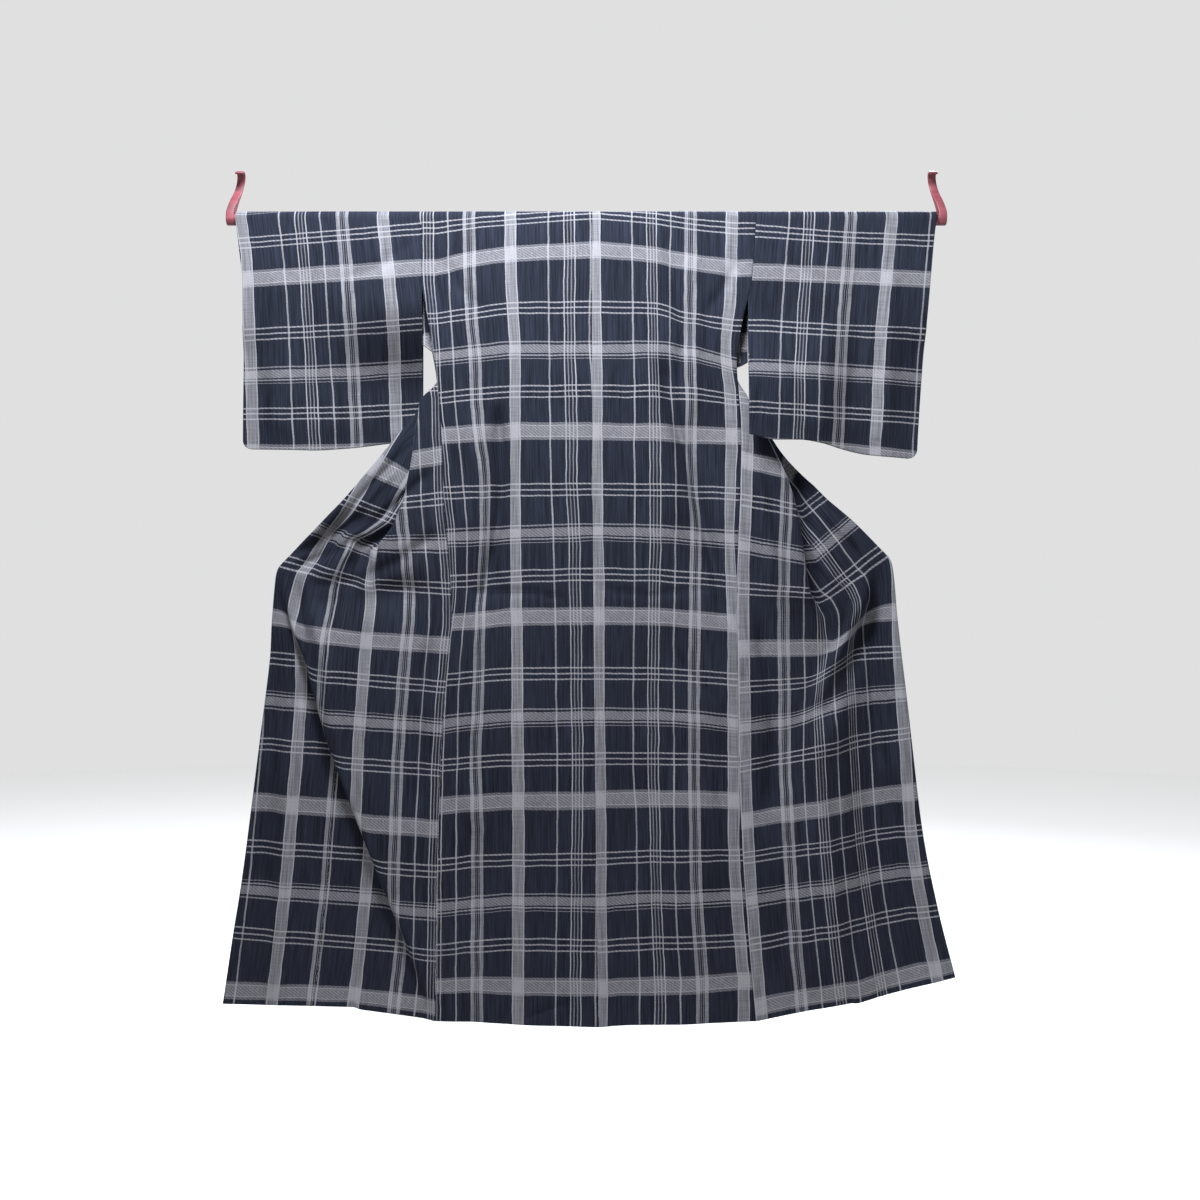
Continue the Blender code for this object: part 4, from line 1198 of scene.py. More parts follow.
@dataclass
class FrontGrid:
    """The grid that both panels of one front are read from.

    side_seam: how far down the side seam starts; forward_from: where the side edge starts to
    come to the back's depth; free_from, free_to: between which depths the front's free edge
    shows; free_show: how far out it shows; sleeve_lap: how far it lies behind the sleeve's
    edge; body_front: the body's width in the front; okumi_top: where the overlap starts;
    okumi_gap: the gap at its seam; fold_arc, swag_arc: over how much cloth the upper and the
    lower fold turn; least_fold, least_swag: their least width; creased_from: how far down
    the creases start; rows: even rows down to the overlap's point, to the tuck and to the
    hem; fine, okumi_fine: even columns of both panels.
    """

    garment: Garment
    side: Side
    side_seam: float = 0.385
    forward_from: float = 0.22
    free_from: float = 0.175
    free_to: float = 0.340
    free_show: float = 0.004
    sleeve_lap: float = 0.0009
    body_front: float = 0.250
    okumi_top: float = 0.20
    okumi_gap: float = 0.00124
    fold_arc: float = 0.020
    least_fold: float = 0.018
    swag_arc: float = 0.034
    least_swag: float = 0.026
    creased_from: float = 0.40
    rows: tuple[int, int, int] = (26, 20, 180)
    fine: int = 250
    okumi_fine: int = 180
    depths: np.ndarray = field(init=False)
    points: np.ndarray = field(init=False)
    run: np.ndarray = field(init=False)

    def __post_init__(self) -> None:
        """Lay out the rows, read the whole sheet once and push in its creases."""
        hem = self.garment.hem_depth
        to_okumi, to_tuck, to_hem = self.rows
        self.depths = np.concatenate([
            np.linspace(self.garment.over_rod, self.okumi_top, to_okumi, endpoint=False),
            np.linspace(self.okumi_top, TUCK[0], to_tuck, endpoint=False), TUCK,
            np.linspace(TUCK[1], hem - LAST_EVEN_ROW, to_hem)[1:], hem - HEM_ROWS])
        measured = FrontRow(*np.array(FRONT_ROWS[self.side]).T)
        row = FrontRow(*(smooth(self.depths, measured.depth, column)[:, None]
                         for column in measured))
        row = row._replace(depth=self.depths[:, None])
        self.run = self.runs(row)
        self.points = self.sheet(row, self.run)
        self.crumple()

    def side_edge(self, depth: np.ndarray) -> tuple[np.ndarray, np.ndarray, np.ndarray]:
        """Where each weft line starts: at the sleeve, at the free edge or at the side seam.

        Args:
            depth: How far below the shoulder each line starts.

        Returns:
            How far out, how far forward and how high.
        """
        shape = self.garment
        z = shape.shoulder_z - np.minimum(depth, shape.hem_depth)
        seam_out = shape.side_out(self.side, z)
        to_sleeve = np.maximum(SIDE_SIZES[self.side].free_edge - seam_out, 0.0)
        to_sleeve = to_sleeve + self.sleeve_lap * ease(to_sleeve / 0.003)
        joined = ease((SIDE_SIZES[self.side].joined_to - depth) / 0.014 + 0.5)
        shown = ease((depth - self.free_from) / 0.06) * ease((self.free_to - depth) / 0.08)
        free = self.free_show * (1 - joined) * shown
        seam = np.where(depth < self.side_seam - 0.02, -shape.half_gap, shape.half_gap)
        forward = ease((depth - self.forward_from) / (self.side_seam - self.forward_from))
        y = shape.over_rod * (1 - forward) + shape.side_y(z) * forward
        return seam_out + seam + joined * to_sleeve + free, y, z

    def runs(self, row: FrontRow) -> np.ndarray:
        """The cloth from the side seam to each point: even shares of both panels.

        Args:
            row: The measured sizes at each weft line.

        Returns:
            A row for each weft line, with the body's columns first.
        """
        body = np.where(row.depth < self.okumi_top - 1e-6, row.width, self.body_front)
        okumi_start = body + self.okumi_gap / 2
        okumi = np.maximum(row.width - okumi_start, 0.0)
        return np.concatenate([
            np.linspace(0, 1, self.fine + 1) * (body - self.okumi_gap / 2),
            okumi_start + np.linspace(0, 1, self.okumi_fine + 1) * okumi], axis=1)

    def heights(self, row: FrontRow, w: np.ndarray, start_z: np.ndarray,
                past_fold: np.ndarray) -> np.ndarray:
        """How high each point lies: the line's even rise or its step, and its dip at the fold.

        Args:
            row: The measured sizes at each weft line.
            w: The cloth from the side seam to each point.
            start_z: How high each line starts.
            past_fold: How much spare cloth the upper fold takes.

        Returns:
            The height of each point.
        """
        # The step comes just before the lower fold, or more slowly where the waves begin
        swagged = row.swag > 0.3
        rise_from = np.where(swagged, row.swag_at - 0.03, row.waves_at - 0.02)
        rise_over = np.where(swagged, 0.08, 0.18)
        lift = (1 - row.step) * w / w[:, -1:] + row.step * ease((w - rise_from) / rise_over)
        lift = lift / np.maximum(lift[:, -1:], 1e-6)
        fold = np.maximum(row.fold_at, 0.04)
        past = fold + np.maximum(past_fold, 0.02)
        dip = np.clip(w / fold, 0, 1) * row.fold_dip \
            + (1 - row.fold_dip) * ease((w - fold) / (past - fold)) \
            - np.clip((w - past) / (row.width - past), 0, 1)
        return start_z + (row.edge_z - start_z) * lift - row.sag * dip

    def turns(self, row: FrontRow, w: np.ndarray, spare: np.ndarray,
              straight: np.ndarray) -> np.ndarray:
        """Each weft line's direction, seen from above, as an angle from straight outwards.

        At a fold the line turns by the fold's angle and turns back: outwards, inwards behind
        itself, outwards again. In soft waves it swings to and fro.

        Args:
            row: The measured sizes at each weft line.
            w: The cloth from the side seam to each point.
            spare: How much longer each line is than its straight way.
            straight: The straight way out, negative where it leads back in.

        Returns:
            The angle at each point.
        """
        # Where a whole line leads straight back in, it doesn't turn again before its end
        tight = np.where(straight < 0, 1 - ease((row.width + straight) / 0.04), 0.0)
        turn = np.zeros_like(w)
        for spare_here, centre, arc, least in (
                (spare * (1 - row.swag - row.ripple), row.fold_at, self.fold_arc,
                 self.least_fold),
                (spare * row.swag, row.swag_at, self.swag_arc, self.least_swag)):
            back = np.maximum(spare_here / 2, least)
            angle = np.arccos(1 - np.clip(spare_here / back, 0.0, 2.0))
            far = np.maximum(centre, 0.0) + back + tight * arc * 0.6
            turn = turn + angle * (ease((w - centre) / arc + 0.5) - ease((w - far) / arc + 0.5))
        length = np.maximum(row.width - row.waves_at, 0.05)
        t = np.clip((w - row.waves_at) / length, 0.0, 1.0)
        steep = 2 * np.sqrt(spare * row.ripple / length)
        waves = 2 * math.pi * SIDE_SIZES[self.side].waves
        return turn + steep * np.sin(waves * t) * (1 + 0.06 * steep ** 2)

    def sheet(self, row: FrontRow, w: np.ndarray) -> np.ndarray:
        """Points of the whole front, a row for each weft line, from the side seam outwards.

        Adding up a line's small steps in its own direction gives its course, which is then
        drawn to the front edge's place.

        Args:
            row: The measured sizes at each weft line.
            w: The cloth from the side seam to each point.

        Returns:
            The points.
        """
        start_out, start_y, start_z = self.side_edge(row.depth)
        straight = row.edge_out - start_out
        spare = np.maximum(row.width - np.hypot(straight, row.edge_z - start_z), 0.0)
        z = self.heights(row, w, start_z, spare * (1 - row.swag - row.ripple))
        step, rise = np.diff(w, axis=1), np.diff(z, axis=1)
        level = np.sqrt(np.maximum(step ** 2 - rise ** 2, (0.5 * step) ** 2))
        whole = level.sum(axis=1, keepdims=True)
        spare = np.where(straight < 0, whole - straight, np.maximum(whole - straight, 0.0))
        turn = self.turns(row, w, spare, straight)
        turn = (turn[:, 1:] + turn[:, :-1]) / 2
        nothing = np.zeros_like(row.depth)
        out, y = (start + np.concatenate([nothing, np.cumsum(way * level, 1)], axis=1)
                  for start, way in ((start_out, np.cos(turn)), (start_y, np.sin(turn))))
        share = w / w[:, -1:]
        out = out + (row.edge_out - out[:, -1:]) * share
        y = y + (row.edge_y - y[:, -1:]) * share
        return np.stack([self.side.value * out, y, z], axis=2)

    def crumple(self) -> None:
        """Push in the creases, on every layer alike, clear of the side seam."""
        x, z = self.points[..., 0], self.points[..., 2]
        push = sum(crease.push(x, z) for crease in FRONT_CREASES[self.side])
        shown = ease((self.depths - self.creased_from) / 0.10)[:, None]
        self.points[..., 1] += push * shown * ease(self.run / 0.05)

    def marks(self, kept: np.ndarray, mark: float) -> np.ndarray:
        """Places on the cloth of the kept columns.

        Args:
            kept: The columns' numbers.
            mark: The place across the cloth at the side seam.

        Returns:
            The places across and along.
        """
        across = mark - self.side.value * self.run[:, kept]
        along = FRONT_MARKS[self.side].straight(self.depths)[:, None]
        return np.stack(np.broadcast_arrays(across, along), axis=2)


@dataclass
class BodyPanel:
    """One length of cloth: up the back, over the rod and down the front to the hem."""

    garment: Garment
    front: FrontGrid
    back_rows: int = 190
    rod_rows: int = 16

    def back(self, kept: np.ndarray) -> np.ndarray:
        """Points of the back, from the hem up to the rod.

        Args:
            kept: The kept columns, of the front's fine ones, from the side to the centre.

        Returns:
            The points.
        """
        shape, side = self.garment, self.front.side
        in_share = (kept / self.front.fine)[None, :]
        down = np.concatenate([1 - HEM_ROWS[::-1] / shape.hem_depth, np.linspace(
            1 - LAST_EVEN_ROW / shape.hem_depth, 0, self.back_rows)])[:, None]
        rough_z = shape.rod_z + (shape.hem_z - shape.rod_z) * down
        edge = side.value * (shape.side_out(side, rough_z) - shape.half_gap)
        middle = shape.centre_x(rough_z) + side.value * shape.half_gap
        x = edge + (middle - edge) * in_share
        z = rough_z - shape.hem_dip * in_share ** 2 * down ** 3
        push = sum(crease.push(x, z) for crease in BACK_CREASES)
        push = push * ease(np.abs(x - edge) / 0.05) * ease(-(z + 0.08) / 0.1)
        return np.stack([x, shape.back_y(x, z, 1 - in_share) + push, z], axis=2)

    def grid(self) -> ClothGrid:
        """The whole panel with its check, before its edges are turned in.

        Returns:
            The grid, from the back's hem over the rod to the front's.
        """
        shape, side = self.garment, self.front.side
        kept = kept_steps(self.front.fine, 4)
        back = self.back(kept)
        top = shape.over_rod_points(back[-1, :, 0], self.rod_rows)
        back_cloth = BACK_CHECKS[side].read(back[..., 0], back[..., 2])
        rod_cloth = shape.over_rod_cloth(back_cloth[-1], self.rod_rows)
        front_cloth = self.front.marks(kept, SIDE_SIZES[side].body_mark)
        # The front's check runs on from the back's, and comes to its own measured places
        # further down. Whole repeats look alike, so they are added to keep it from running
        # askew.
        gap = back_cloth[-1] - np.array([0.0, math.pi * shape.over_rod]) - front_cloth[0]
        repeat = MM * np.array(REPEAT_MM)
        whole = repeat * np.round(gap.mean(axis=0) / repeat)
        fade = 1 - ease((self.front.depths - 0.03) / 0.28)
        front_cloth = front_cloth + whole + (gap - whole) * fade[:, None, None]
        return ClothGrid.of(np.concatenate([back, top, self.front.points[:, kept]]),
                            np.concatenate([back_cloth, rod_cloth, front_cloth]), side.value)

    def puckered(self, grid: ClothGrid) -> ClothGrid:
        """The grid with ripples beside the seams, about 22 mm long, and edges that roll in.

        Args:
            grid: The panel's grid.

        Returns:
            The pushed grid.
        """
        run, from_side = run_length(grid.points, 0), run_length(grid.points, 1)
        from_centre = from_side[:, -1:] - from_side
        ripple = np.sin(run * 290 + 2.0 * np.sin(run * 41)) * np.sin(run * 23 + 1.0)
        push = 0.00045 * ripple * (np.exp(-from_side / 0.012) + np.exp(-from_centre / 0.012))
        roll = rolled_edge(from_side) + rolled_edge(from_centre)
        off_rod = ease((self.garment.rod_z - grid.points[..., 2]) / 0.02)
        return grid.moved((push + roll) * off_rod)

    def build(self, room: Workroom) -> bpy.types.Object:
        """The finished panel, with its seams and hems turned in.

        Args:
            room: The workroom that makes it.

        Returns:
            The new object.
        """
        word = self.front.side.word
        grid = self.puckered(self.grid()).sewn(
            (Edge.FIRST_COLUMN, Edge.LAST_COLUMN, Edge.FIRST_ROW, Edge.LAST_ROW),
            self.garment.turn_gap)
        panel = room.panel(f"body_{word}_cloth", grid)
        room.hand_over_sheet(panel, f"body_{word}")
        return panel


@dataclass
class OkumiPanel:
    """The overlap: the narrow panel sewn to the front, from its point to the hem."""

    garment: Garment
    front: FrontGrid

    def build(self, room: Workroom) -> bpy.types.Object:
        """The finished panel, with its seam, free edge and hem turned in.

        Args:
            room: The workroom that makes it.

        Returns:
            The new object.
        """
        front, word = self.front, self.front.side.word
        kept = front.fine + 1 + kept_steps(front.okumi_fine, 4)
        below = front.depths >= front.okumi_top + 0.004
        cloth = front.marks(kept, SIDE_SIZES[front.side].okumi_mark)
        grid = ClothGrid.of(front.points[:, kept][below], cloth[below], front.side.value)
        from_seam = front.run[:, kept][below]
        from_seam = from_seam - from_seam[:, :1]
        from_edge = from_seam[:, -1:] - from_seam
        grid = grid.moved(rolled_edge(from_seam) + rolled_edge(from_edge))
        grid = grid.sewn((Edge.FIRST_COLUMN, Edge.LAST_COLUMN, Edge.LAST_ROW),
                         self.garment.turn_gap)
        panel = room.panel(f"okumi_{word}_cloth", grid)
        room.hand_over_sheet(panel, f"okumi_{word}")
        return panel


@dataclass
class Sleeve:
    """A sleeve: one length over the rod, joined along the bottom and below the wrist.

    wrist: the wrist opening's length; corner: the lower outer corner's radius; edge_gap:
    between the layers where they are joined; flat_from: where they start to close in from
    the rod's width; half: half of their distance low down; wave, wave_turn: a slow wave's
    height and its radians a metre; pushed_out: how far out the front pushes the inner edge,
    as a share of how far it pushes it back; push_top, push_low: the heights between which
    that comes on; length: about how far it hangs down; hem_rows: how far from its bottom its
    lowest rows lie; rows, rod_rows: even rows of each layer and over the rod; fine: its even
    columns.
    """

    garment: Garment
    side: Side
    wrist: float = 0.230
    corner: float = 0.017
    edge_gap: float = 0.0034
    flat_from: float = -0.215
    half: float = 0.006
    wave: float = 0.004
    wave_turn: float = 38.0
    pushed_out: float = 0.1
    push_top: float = -0.235
    push_low: float = -0.415
    length: float = 0.45
    hem_rows: tuple[float, ...] = (0.0, 0.0015, 0.004, 0.008, 0.013)
    rows: int = 84
    rod_rows: int = 14
    fine: int = 250

    def plane(self) -> tuple[np.ndarray, np.ndarray, np.ndarray, np.ndarray]:
        """A layer's outline and how far it is shifted, from the bottom up to the rod.

        Returns:
            How far out each point lies, how high, how far it is shifted forward, and half
            of the layers' distance there.
        """
        shape, own = self.garment, SIDE_SIZES[self.side]
        out_share = (kept_steps(self.fine, 5) / self.fine)[None, :]
        down = np.concatenate([1 - np.array(self.hem_rows) / self.length, np.linspace(
            1 - LAST_EVEN_ROW / self.length, 0, self.rows)])[:, None]
        lowest_outer = SLEEVE_OUTER[self.side].points[0][1]
        rough_out = own.free_edge + (lowest_outer - own.free_edge) * out_share
        bottom = SLEEVE_BOTTOM[self.side].at(rough_out)
        z = shape.rod_z + (bottom - shape.rod_z) * down
        into_corner = np.clip(1 - (z - bottom) / self.corner, 0, 1)
        cut = self.corner * (1 - np.sqrt(1 - into_corner ** 2))
        low = ease((self.push_top - z) / (self.push_top - self.push_low))
        inner = np.maximum(shape.side_out(self.side, z), own.free_edge) + shape.half_gap
        inner = inner + self.pushed_out * max(own.push, 0.0) * low
        outer = SLEEVE_OUTER[self.side].at(z) - cut
        out = inner + (outer - inner) * out_share
        drop = ease((self.flat_from - z) / 0.25)
        half = shape.over_rod + (self.half - shape.over_rod) * drop
        closed = ease((shape.shoulder_z - z - self.wrist) / 0.06) \
            * ease((out_share - 0.80) / 0.20)
        half = half + (self.edge_gap / 2 - half) * closed
        half = half + (self.edge_gap / 2 - half) * ease(1 - (z - bottom) / 0.05)
        near_body = ease((own.push_from - out) / (own.push_from - own.push_all))
        wave = self.wave * np.sin(out * self.wave_turn + 1.0) * drop * (1 - near_body)
        soft = sum(crease.push(self.side.value * out, z) for crease in SLEEVE_CREASES[self.side])
        soft = soft * ease(-(z + 0.08) / 0.08) * ease((z - bottom) / 0.06)
        soft = soft * ease((out - inner) / 0.03)
        return out, z, own.push * low * near_body + wave + soft, half

    def grid(self) -> ClothGrid:
        """The ring of rows: up the back layer, over the rod and down the front layer.

        Returns:
            The grid with its check, which the front layer mirrors.
        """
        shape, side = self.garment, self.side
        out, z, shift, half = self.plane()
        x = side.value * out
        points = np.concatenate([
            np.stack([x, shift - half, z], axis=2),
            shape.over_rod_points(x[-1], self.rod_rows),
            np.stack([x, shift + half, z], axis=2)[::-1]])
        # The check was measured as the camera sees it, so cloth pushed away is read nearer in
        nearer = 1 + shift / shape.seen_from
        at_x, at_z = shape.seen_at
        back = SLEEVE_CHECKS[side].read(at_x + (x - at_x) / nearer, at_z + (z - at_z) / nearer)
        front = back[::-1].copy()
        front[..., 1] = 2 * back[-1, :, 1] - math.pi * shape.over_rod - front[..., 1]
        over = shape.over_rod_cloth(back[-1], self.rod_rows)
        return ClothGrid.of(points, np.concatenate([back, over, front]), -side.value)

    def seams(self, grid: ClothGrid, before: int) -> list[list[int]]:
        """Faces that join the layers along the bottom and up the outer edge to the wrist.

        Args:
            grid: The finished grid.
            before: How many turned columns stand before the grid's own first one.

        Returns:
            The faces, as numbers of the grid's points.
        """
        rows, columns = grid.points.shape[:2]
        last = rows - 1
        place = np.arange(before, columns - 1)
        bottom = np.stack([place, last * columns + place, last * columns + place + 1,
                           place + 1], axis=1)
        edge_z = grid.points[: rows // 2, -1, 2]
        count = int(np.sum(edge_z < self.garment.shoulder_z - self.wrist)) - 1
        back = np.arange(count) * columns + columns - 1
        front = (last - np.arange(count)) * columns + columns - 1
        outer = np.stack([back, front, front - columns, back + columns], axis=1)
        return np.concatenate([bottom, outer]).tolist()

    def build(self, room: Workroom) -> bpy.types.Object:
        """The finished sleeve, with its edge at the body turned in.

        Args:
            room: The workroom that makes it.

        Returns:
            The new object.
        """
        grid = self.grid()
        sewn = grid.sewn((Edge.FIRST_COLUMN,), self.garment.turn_gap)
        turned = sewn.points.shape[1] - grid.points.shape[1]
        word = self.side.word
        sleeve = room.panel(f"sleeve_{word}_cloth", sewn, self.seams(sewn, turned))
        room.hand_over_sheet(sleeve, f"sleeve_{word}")
        return sleeve


@dataclass
class Collar:
    """The long band round the neck and down both fronts' edges, folded to half width.

    end_depth: how far down the fronts it ends, at the clips' height; width, wall: its width
    and whole thickness; gap: how far it stands off the cloth under it; reach: how far round
    each of its points that cloth is looked for; flats, rounds: points across each side and
    round each edge.
    """

    garment: Garment
    fronts: dict[Side, FrontGrid]
    end_depth: float = 0.770
    width: float = 0.055
    wall: float = 0.0024
    gap: float = 0.0026
    reach: float = 0.035
    flats: int = 12
    rounds: int = 5

    def seam(self) -> np.ndarray:
        """The seam line, from the left end round the neck to the right end.

        Returns:
            Its points.
        """
        left, right = (front.points[front.depths < self.end_depth, -1]
                       for front in self.fronts.values())
        return np.concatenate([left[::-1], right[1:]])

    def inwards(self, seam: np.ndarray) -> np.ndarray:
        """The directions in which the band lies, level with the fronts.

        Args:
            seam: The seam line.

        Returns:
            A unit vector at each of its points, square to its evened course.
        """
        kernel = np.hanning(9) / np.hanning(9).sum()
        way = np.stack([np.convolve(np.pad(part, 4, "edge"), kernel, "valid")
                        for part in np.gradient(seam[:, [0, 2]], axis=0).T], axis=1)
        way = way / np.linalg.norm(way, axis=1, keepdims=True)
        return np.stack([way[:, 1], np.zeros(len(seam)), -way[:, 0]], axis=1)

    def build(self, room: Workroom) -> bpy.types.Object:
        """The finished band, a flat tube with rounded long edges.

        Args:
            room: The workroom that makes it.

        Returns:
            The new object.
        """
        seam = self.seam()
        inwards = self.inwards(seam)[:, None]
        radius = self.wall / 2
        turn = np.linspace(0, math.pi, self.rounds + 2)[1:-1]
        flat = np.linspace(radius, self.width - radius, self.flats)
        across = np.concatenate([flat, self.width - radius + radius * np.sin(turn),
                                 flat[::-1], radius - radius * np.sin(turn)])
        side = np.full(self.flats, radius)
        lift = np.concatenate([side, radius * np.cos(turn), -side, -radius * np.cos(turn)])
        # The band lies on the cloth that stands out furthest near each of its points
        sheet = np.concatenate([front.points[::2, ::4].reshape(-1, 3)
                                for front in self.fronts.values()])
        band = seam[:, None] + inwards * flat[:, None]
        away = np.hypot(band[..., 0, None] - sheet[:, 0], band[..., 2, None] - sheet[:, 2])
        under = np.where(away < self.reach, sheet[:, 1], -1.0).max(axis=2)
        level = np.maximum(band[..., 1], under) + (CLOTH_WALL + self.wall) / 2 + self.gap
        rings = seam[:, None] + inwards * across[:, None]
        rings[..., 1] = np.stack([np.interp(across, flat, row) for row in level]) + lift
        collar = room.tube("collar_cloth", rings, room.cloth)
        girth = run_length(np.stack([across, lift], axis=1))
        cloth = np.broadcast_arrays(self.width + girth, run_length(seam)[:, None])
        room.lay_check(collar, np.stack(cloth, axis=2))
        room.hand_over_sheet(collar, "collar")
        return collar


@dataclass
class HangerArm:
    """A flat wooden arm at an end of the rod, hooked over the rail, with rounded edges.

    thickness: along the rod; lean: how far it leans to the middle for each metre up;
    hook_width, hook_radius: the hook's width and its middle line's radius; hook_from,
    hook_to: the hook's angles in degrees; narrow_over: the way from the foot over which the
    arm narrows; edge_radius: of its edges; stem: the middle line's depth and height.
    """

    garment: Garment
    side: Side
    thickness: float = 0.016
    lean: float = 0.24
    hook_width: float = 0.0052
    hook_radius: float = 0.0202
    hook_from: float = -12
    hook_to: float = 118
    rod_radius: float = 0.0125
    narrow_over: float = 0.075
    edge_radius: float = 0.0019
    stem: tuple[tuple[float, float], ...] = (
        (0.0, -0.0725), (0.0005, -0.060), (0.0025, -0.047), (0.0075, -0.034),
        (0.0145, -0.021), (0.0186, -0.012))

    @staticmethod
    def around(angles: np.ndarray) -> np.ndarray:
        """Unit vectors at some angles."""
        return np.stack([np.cos(angles), np.sin(angles)], axis=1)

    def outline(self) -> tuple[np.ndarray, np.ndarray]:
        """The arm seen from the end, round its foot, up its stem, over the hook and back.

        Returns:
            The outline's depths and heights, and its outward directions.
        """
        hook = self.around(np.radians(np.linspace(self.hook_from, self.hook_to, 30)))
        knots = np.array(self.stem)
        rough = run_length(knots)
        fine = np.linspace(0, rough[-1], 26)
        stem = np.stack([smooth(fine, rough, part) for part in knots.T], axis=1)
        line = np.concatenate([stem, hook * self.hook_radius])
        narrowed = ease(run_length(line) / self.narrow_over)[:, None]
        half = self.rod_radius + (self.hook_width / 2 - self.rod_radius) * narrowed
        along = np.gradient(line, axis=0)
        along = along / np.linalg.norm(along, axis=1, keepdims=True)
        across = np.stack([-along[:, 1], along[:, 0]], axis=1)
        foot = self.around(np.radians(np.linspace(0, -180, 25))[1:-1])
        tip_turn = np.linspace(math.pi / 2, -math.pi / 2, 9)[1:-1, None]
        tip = along[-1] * np.cos(tip_turn) + across[-1] * np.sin(tip_turn)
        points = np.concatenate([
            foot * self.rod_radius + np.array([0.0, self.garment.rod_z]),
            line + across * half, line[-1] + tip * half[-1], (line - across * half)[::-1]])
        return points, np.concatenate([foot, across, tip, -across[::-1]])

    def build(self, room: Workroom) -> bpy.types.Object:
        """The finished arm: rings of its outline, drawn in at both faces' rounded edges.

        Args:
            room: The workroom that makes it.

        Returns:
            The new object.
        """
        points, outward = self.outline()
        quarter = np.linspace(0, math.pi / 2, 6)
        inset = self.edge_radius * (1 - np.sin(quarter))
        level = self.thickness / 2 - self.edge_radius * (1 - np.cos(quarter))
        # One more ring a little inside each face keeps the face flat up to its edge
        face = [self.edge_radius * 1.25]
        insets = np.concatenate([face, inset, inset[::-1], face])[:, None, None]
        levels = np.concatenate([level[:1], level, -level[::-1], -level[:1]])
        rings = points - outward * insets
        rise = np.maximum(0.0, rings[..., 1] - (self.garment.rod_z + self.rod_radius))
        x = SIDE_SIZES[self.side].arm_at + levels[:, None] - self.side.value * self.lean * rise
        word = self.side.word
        arm = room.tube(f"hanger_arm_{word}_wood", np.dstack([x, rings]), room.wood)
        room.hand_over(arm, f"hanger_arm_{word}")
        return arm


@dataclass
class HangerRod:
    """The round rod, whose CAD shape stays and only gets its wood."""

    node: str = "hanger_rod"

    def dress(self, room: Workroom) -> None:
        """Put the red wood on the CAD rod."""
        for slot in bpy.data.objects[self.node].material_slots:
            slot.material = room.wood


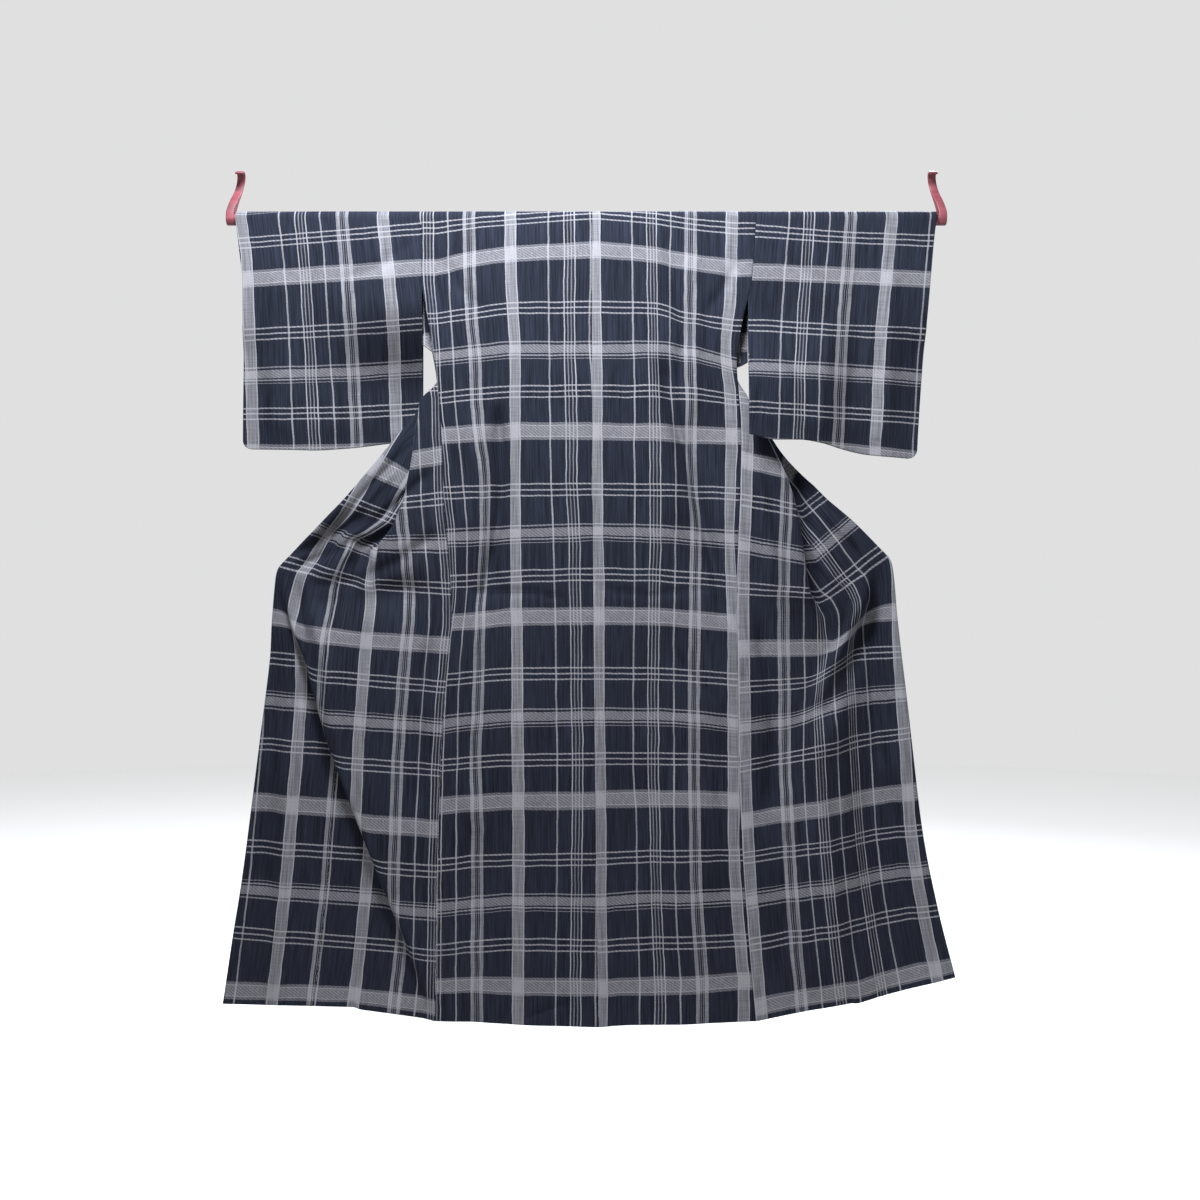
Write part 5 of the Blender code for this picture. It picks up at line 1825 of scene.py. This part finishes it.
@dataclass
class Studio:
    """The photograph's camera, soft daylight from above and a plain pale floor.

    lens: the camera's focal length in mm; floor_z, floor_radius, floor: the floor's height,
    radius and colour; daylight, lamp_size: both lamps' colour and sides; key, front: their
    places; key_at, front_at: the points that they are turned to; key_watts, front_watts:
    their power; room, room_level: the world's colour and strength.
    """

    garment: Garment
    lens: float = 48.0
    floor_z: float = -1.75
    floor_radius: float = 6.0
    floor: Srgb = Srgb("#efefed")
    daylight: Srgb = Srgb("#eef5ff")
    lamp_size: tuple[float, float] = (0.7, 0.45)
    key: tuple[float, float, float] = (-0.25, -0.95, 0.8)
    key_at: tuple[float, float, float] = (0.14, 0.0, -0.22)
    key_watts: float = 195.0
    front: tuple[float, float, float] = (0.8, 1.1, 0.95)
    front_at: tuple[float, float, float] = (0.0, 0.0, -0.3)
    front_watts: float = 130.0
    room: Srgb = Srgb("#fdfdfe")
    room_level: float = 0.76

    def place_camera(self) -> None:
        """The photograph's camera: level, in front of the back, with a 36 mm wide sensor."""
        data = bpy.data.cameras.new("view")
        data.lens = self.lens
        data.sensor_width = 36.0
        camera = bpy.data.objects.new("view", data)
        x, z = self.garment.seen_at
        camera.location = (x, -self.garment.seen_from, z)
        camera.rotation_euler = (math.pi / 2, 0.0, 0.0)
        bpy.context.scene.collection.objects.link(camera)
        bpy.context.scene.camera = camera

    def hang_lamp(self, name: str, place: tuple[float, float, float],
                  aim: tuple[float, float, float], watts: float) -> None:
        """A rectangular area light turned towards a point.

        Args:
            name: Its name.
            place: Where it hangs.
            aim: The point.
            watts: Its power.
        """
        data = bpy.data.lights.new(name, "AREA")
        data.shape = "RECTANGLE"
        data.size, data.size_y = self.lamp_size
        data.energy = watts
        data.color = self.daylight.linear()[:3]
        lamp = bpy.data.objects.new(name, data)
        lamp.location = place
        way = Vector(aim) - Vector(place)
        lamp.rotation_euler = way.to_track_quat("-Z", "Y").to_euler()
        bpy.context.scene.collection.objects.link(lamp)

    def lay_floor(self) -> None:
        """A round pale floor under the garment."""
        board = NodeBoard("pale_floor")
        board.feed(board.shader, {"Base Color": self.floor.linear(), "Roughness": 0.9})
        turn = np.linspace(0, 2 * math.pi, 65)[:-1]
        rim = np.stack([np.cos(turn), np.sin(turn)], axis=1) * self.floor_radius
        points = np.pad(rim, ((0, 0), (0, 1)), constant_values=self.floor_z)
        mesh = bpy.data.meshes.new("floor")
        mesh.from_pydata(points.tolist(), [], [list(range(len(points)))])
        mesh.materials.append(board.material)
        floor = bpy.data.objects.new("floor", mesh)
        bpy.context.scene.collection.objects.link(floor)

    def build(self) -> None:
        """Set the whole studio."""
        self.place_camera()
        self.hang_lamp("key", self.key, self.key_at, self.key_watts)
        self.hang_lamp("front", self.front, self.front_at, self.front_watts)
        world = bpy.data.worlds.new("pale_room")
        world.use_nodes = True
        sky = world.node_tree.nodes["Background"]
        sky.inputs["Color"].default_value = self.room.linear()
        sky.inputs["Strength"].default_value = self.room_level
        bpy.context.scene.world = world
        bpy.context.scene.view_settings.view_transform = "Standard"
        self.lay_floor()


def main() -> None:
    """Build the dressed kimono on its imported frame."""
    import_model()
    garment = Garment()
    Studio(garment).build()
    room = Workroom(IndigoCheckDenim().build(), RedStainedWood().build())
    fronts = {side: FrontGrid(garment, side) for side in Side}
    HangerRod().dress(room)
    for side in Side:
        HangerArm(garment, side).build(room)
        BodyPanel(garment, fronts[side]).build(room)
        OkumiPanel(garment, fronts[side]).build(room)
        Sleeve(garment, side).build(room)
    Collar(garment, fronts).build(room)


if __name__ == "__main__":
    logging.basicConfig(level=logging.INFO)
    main()
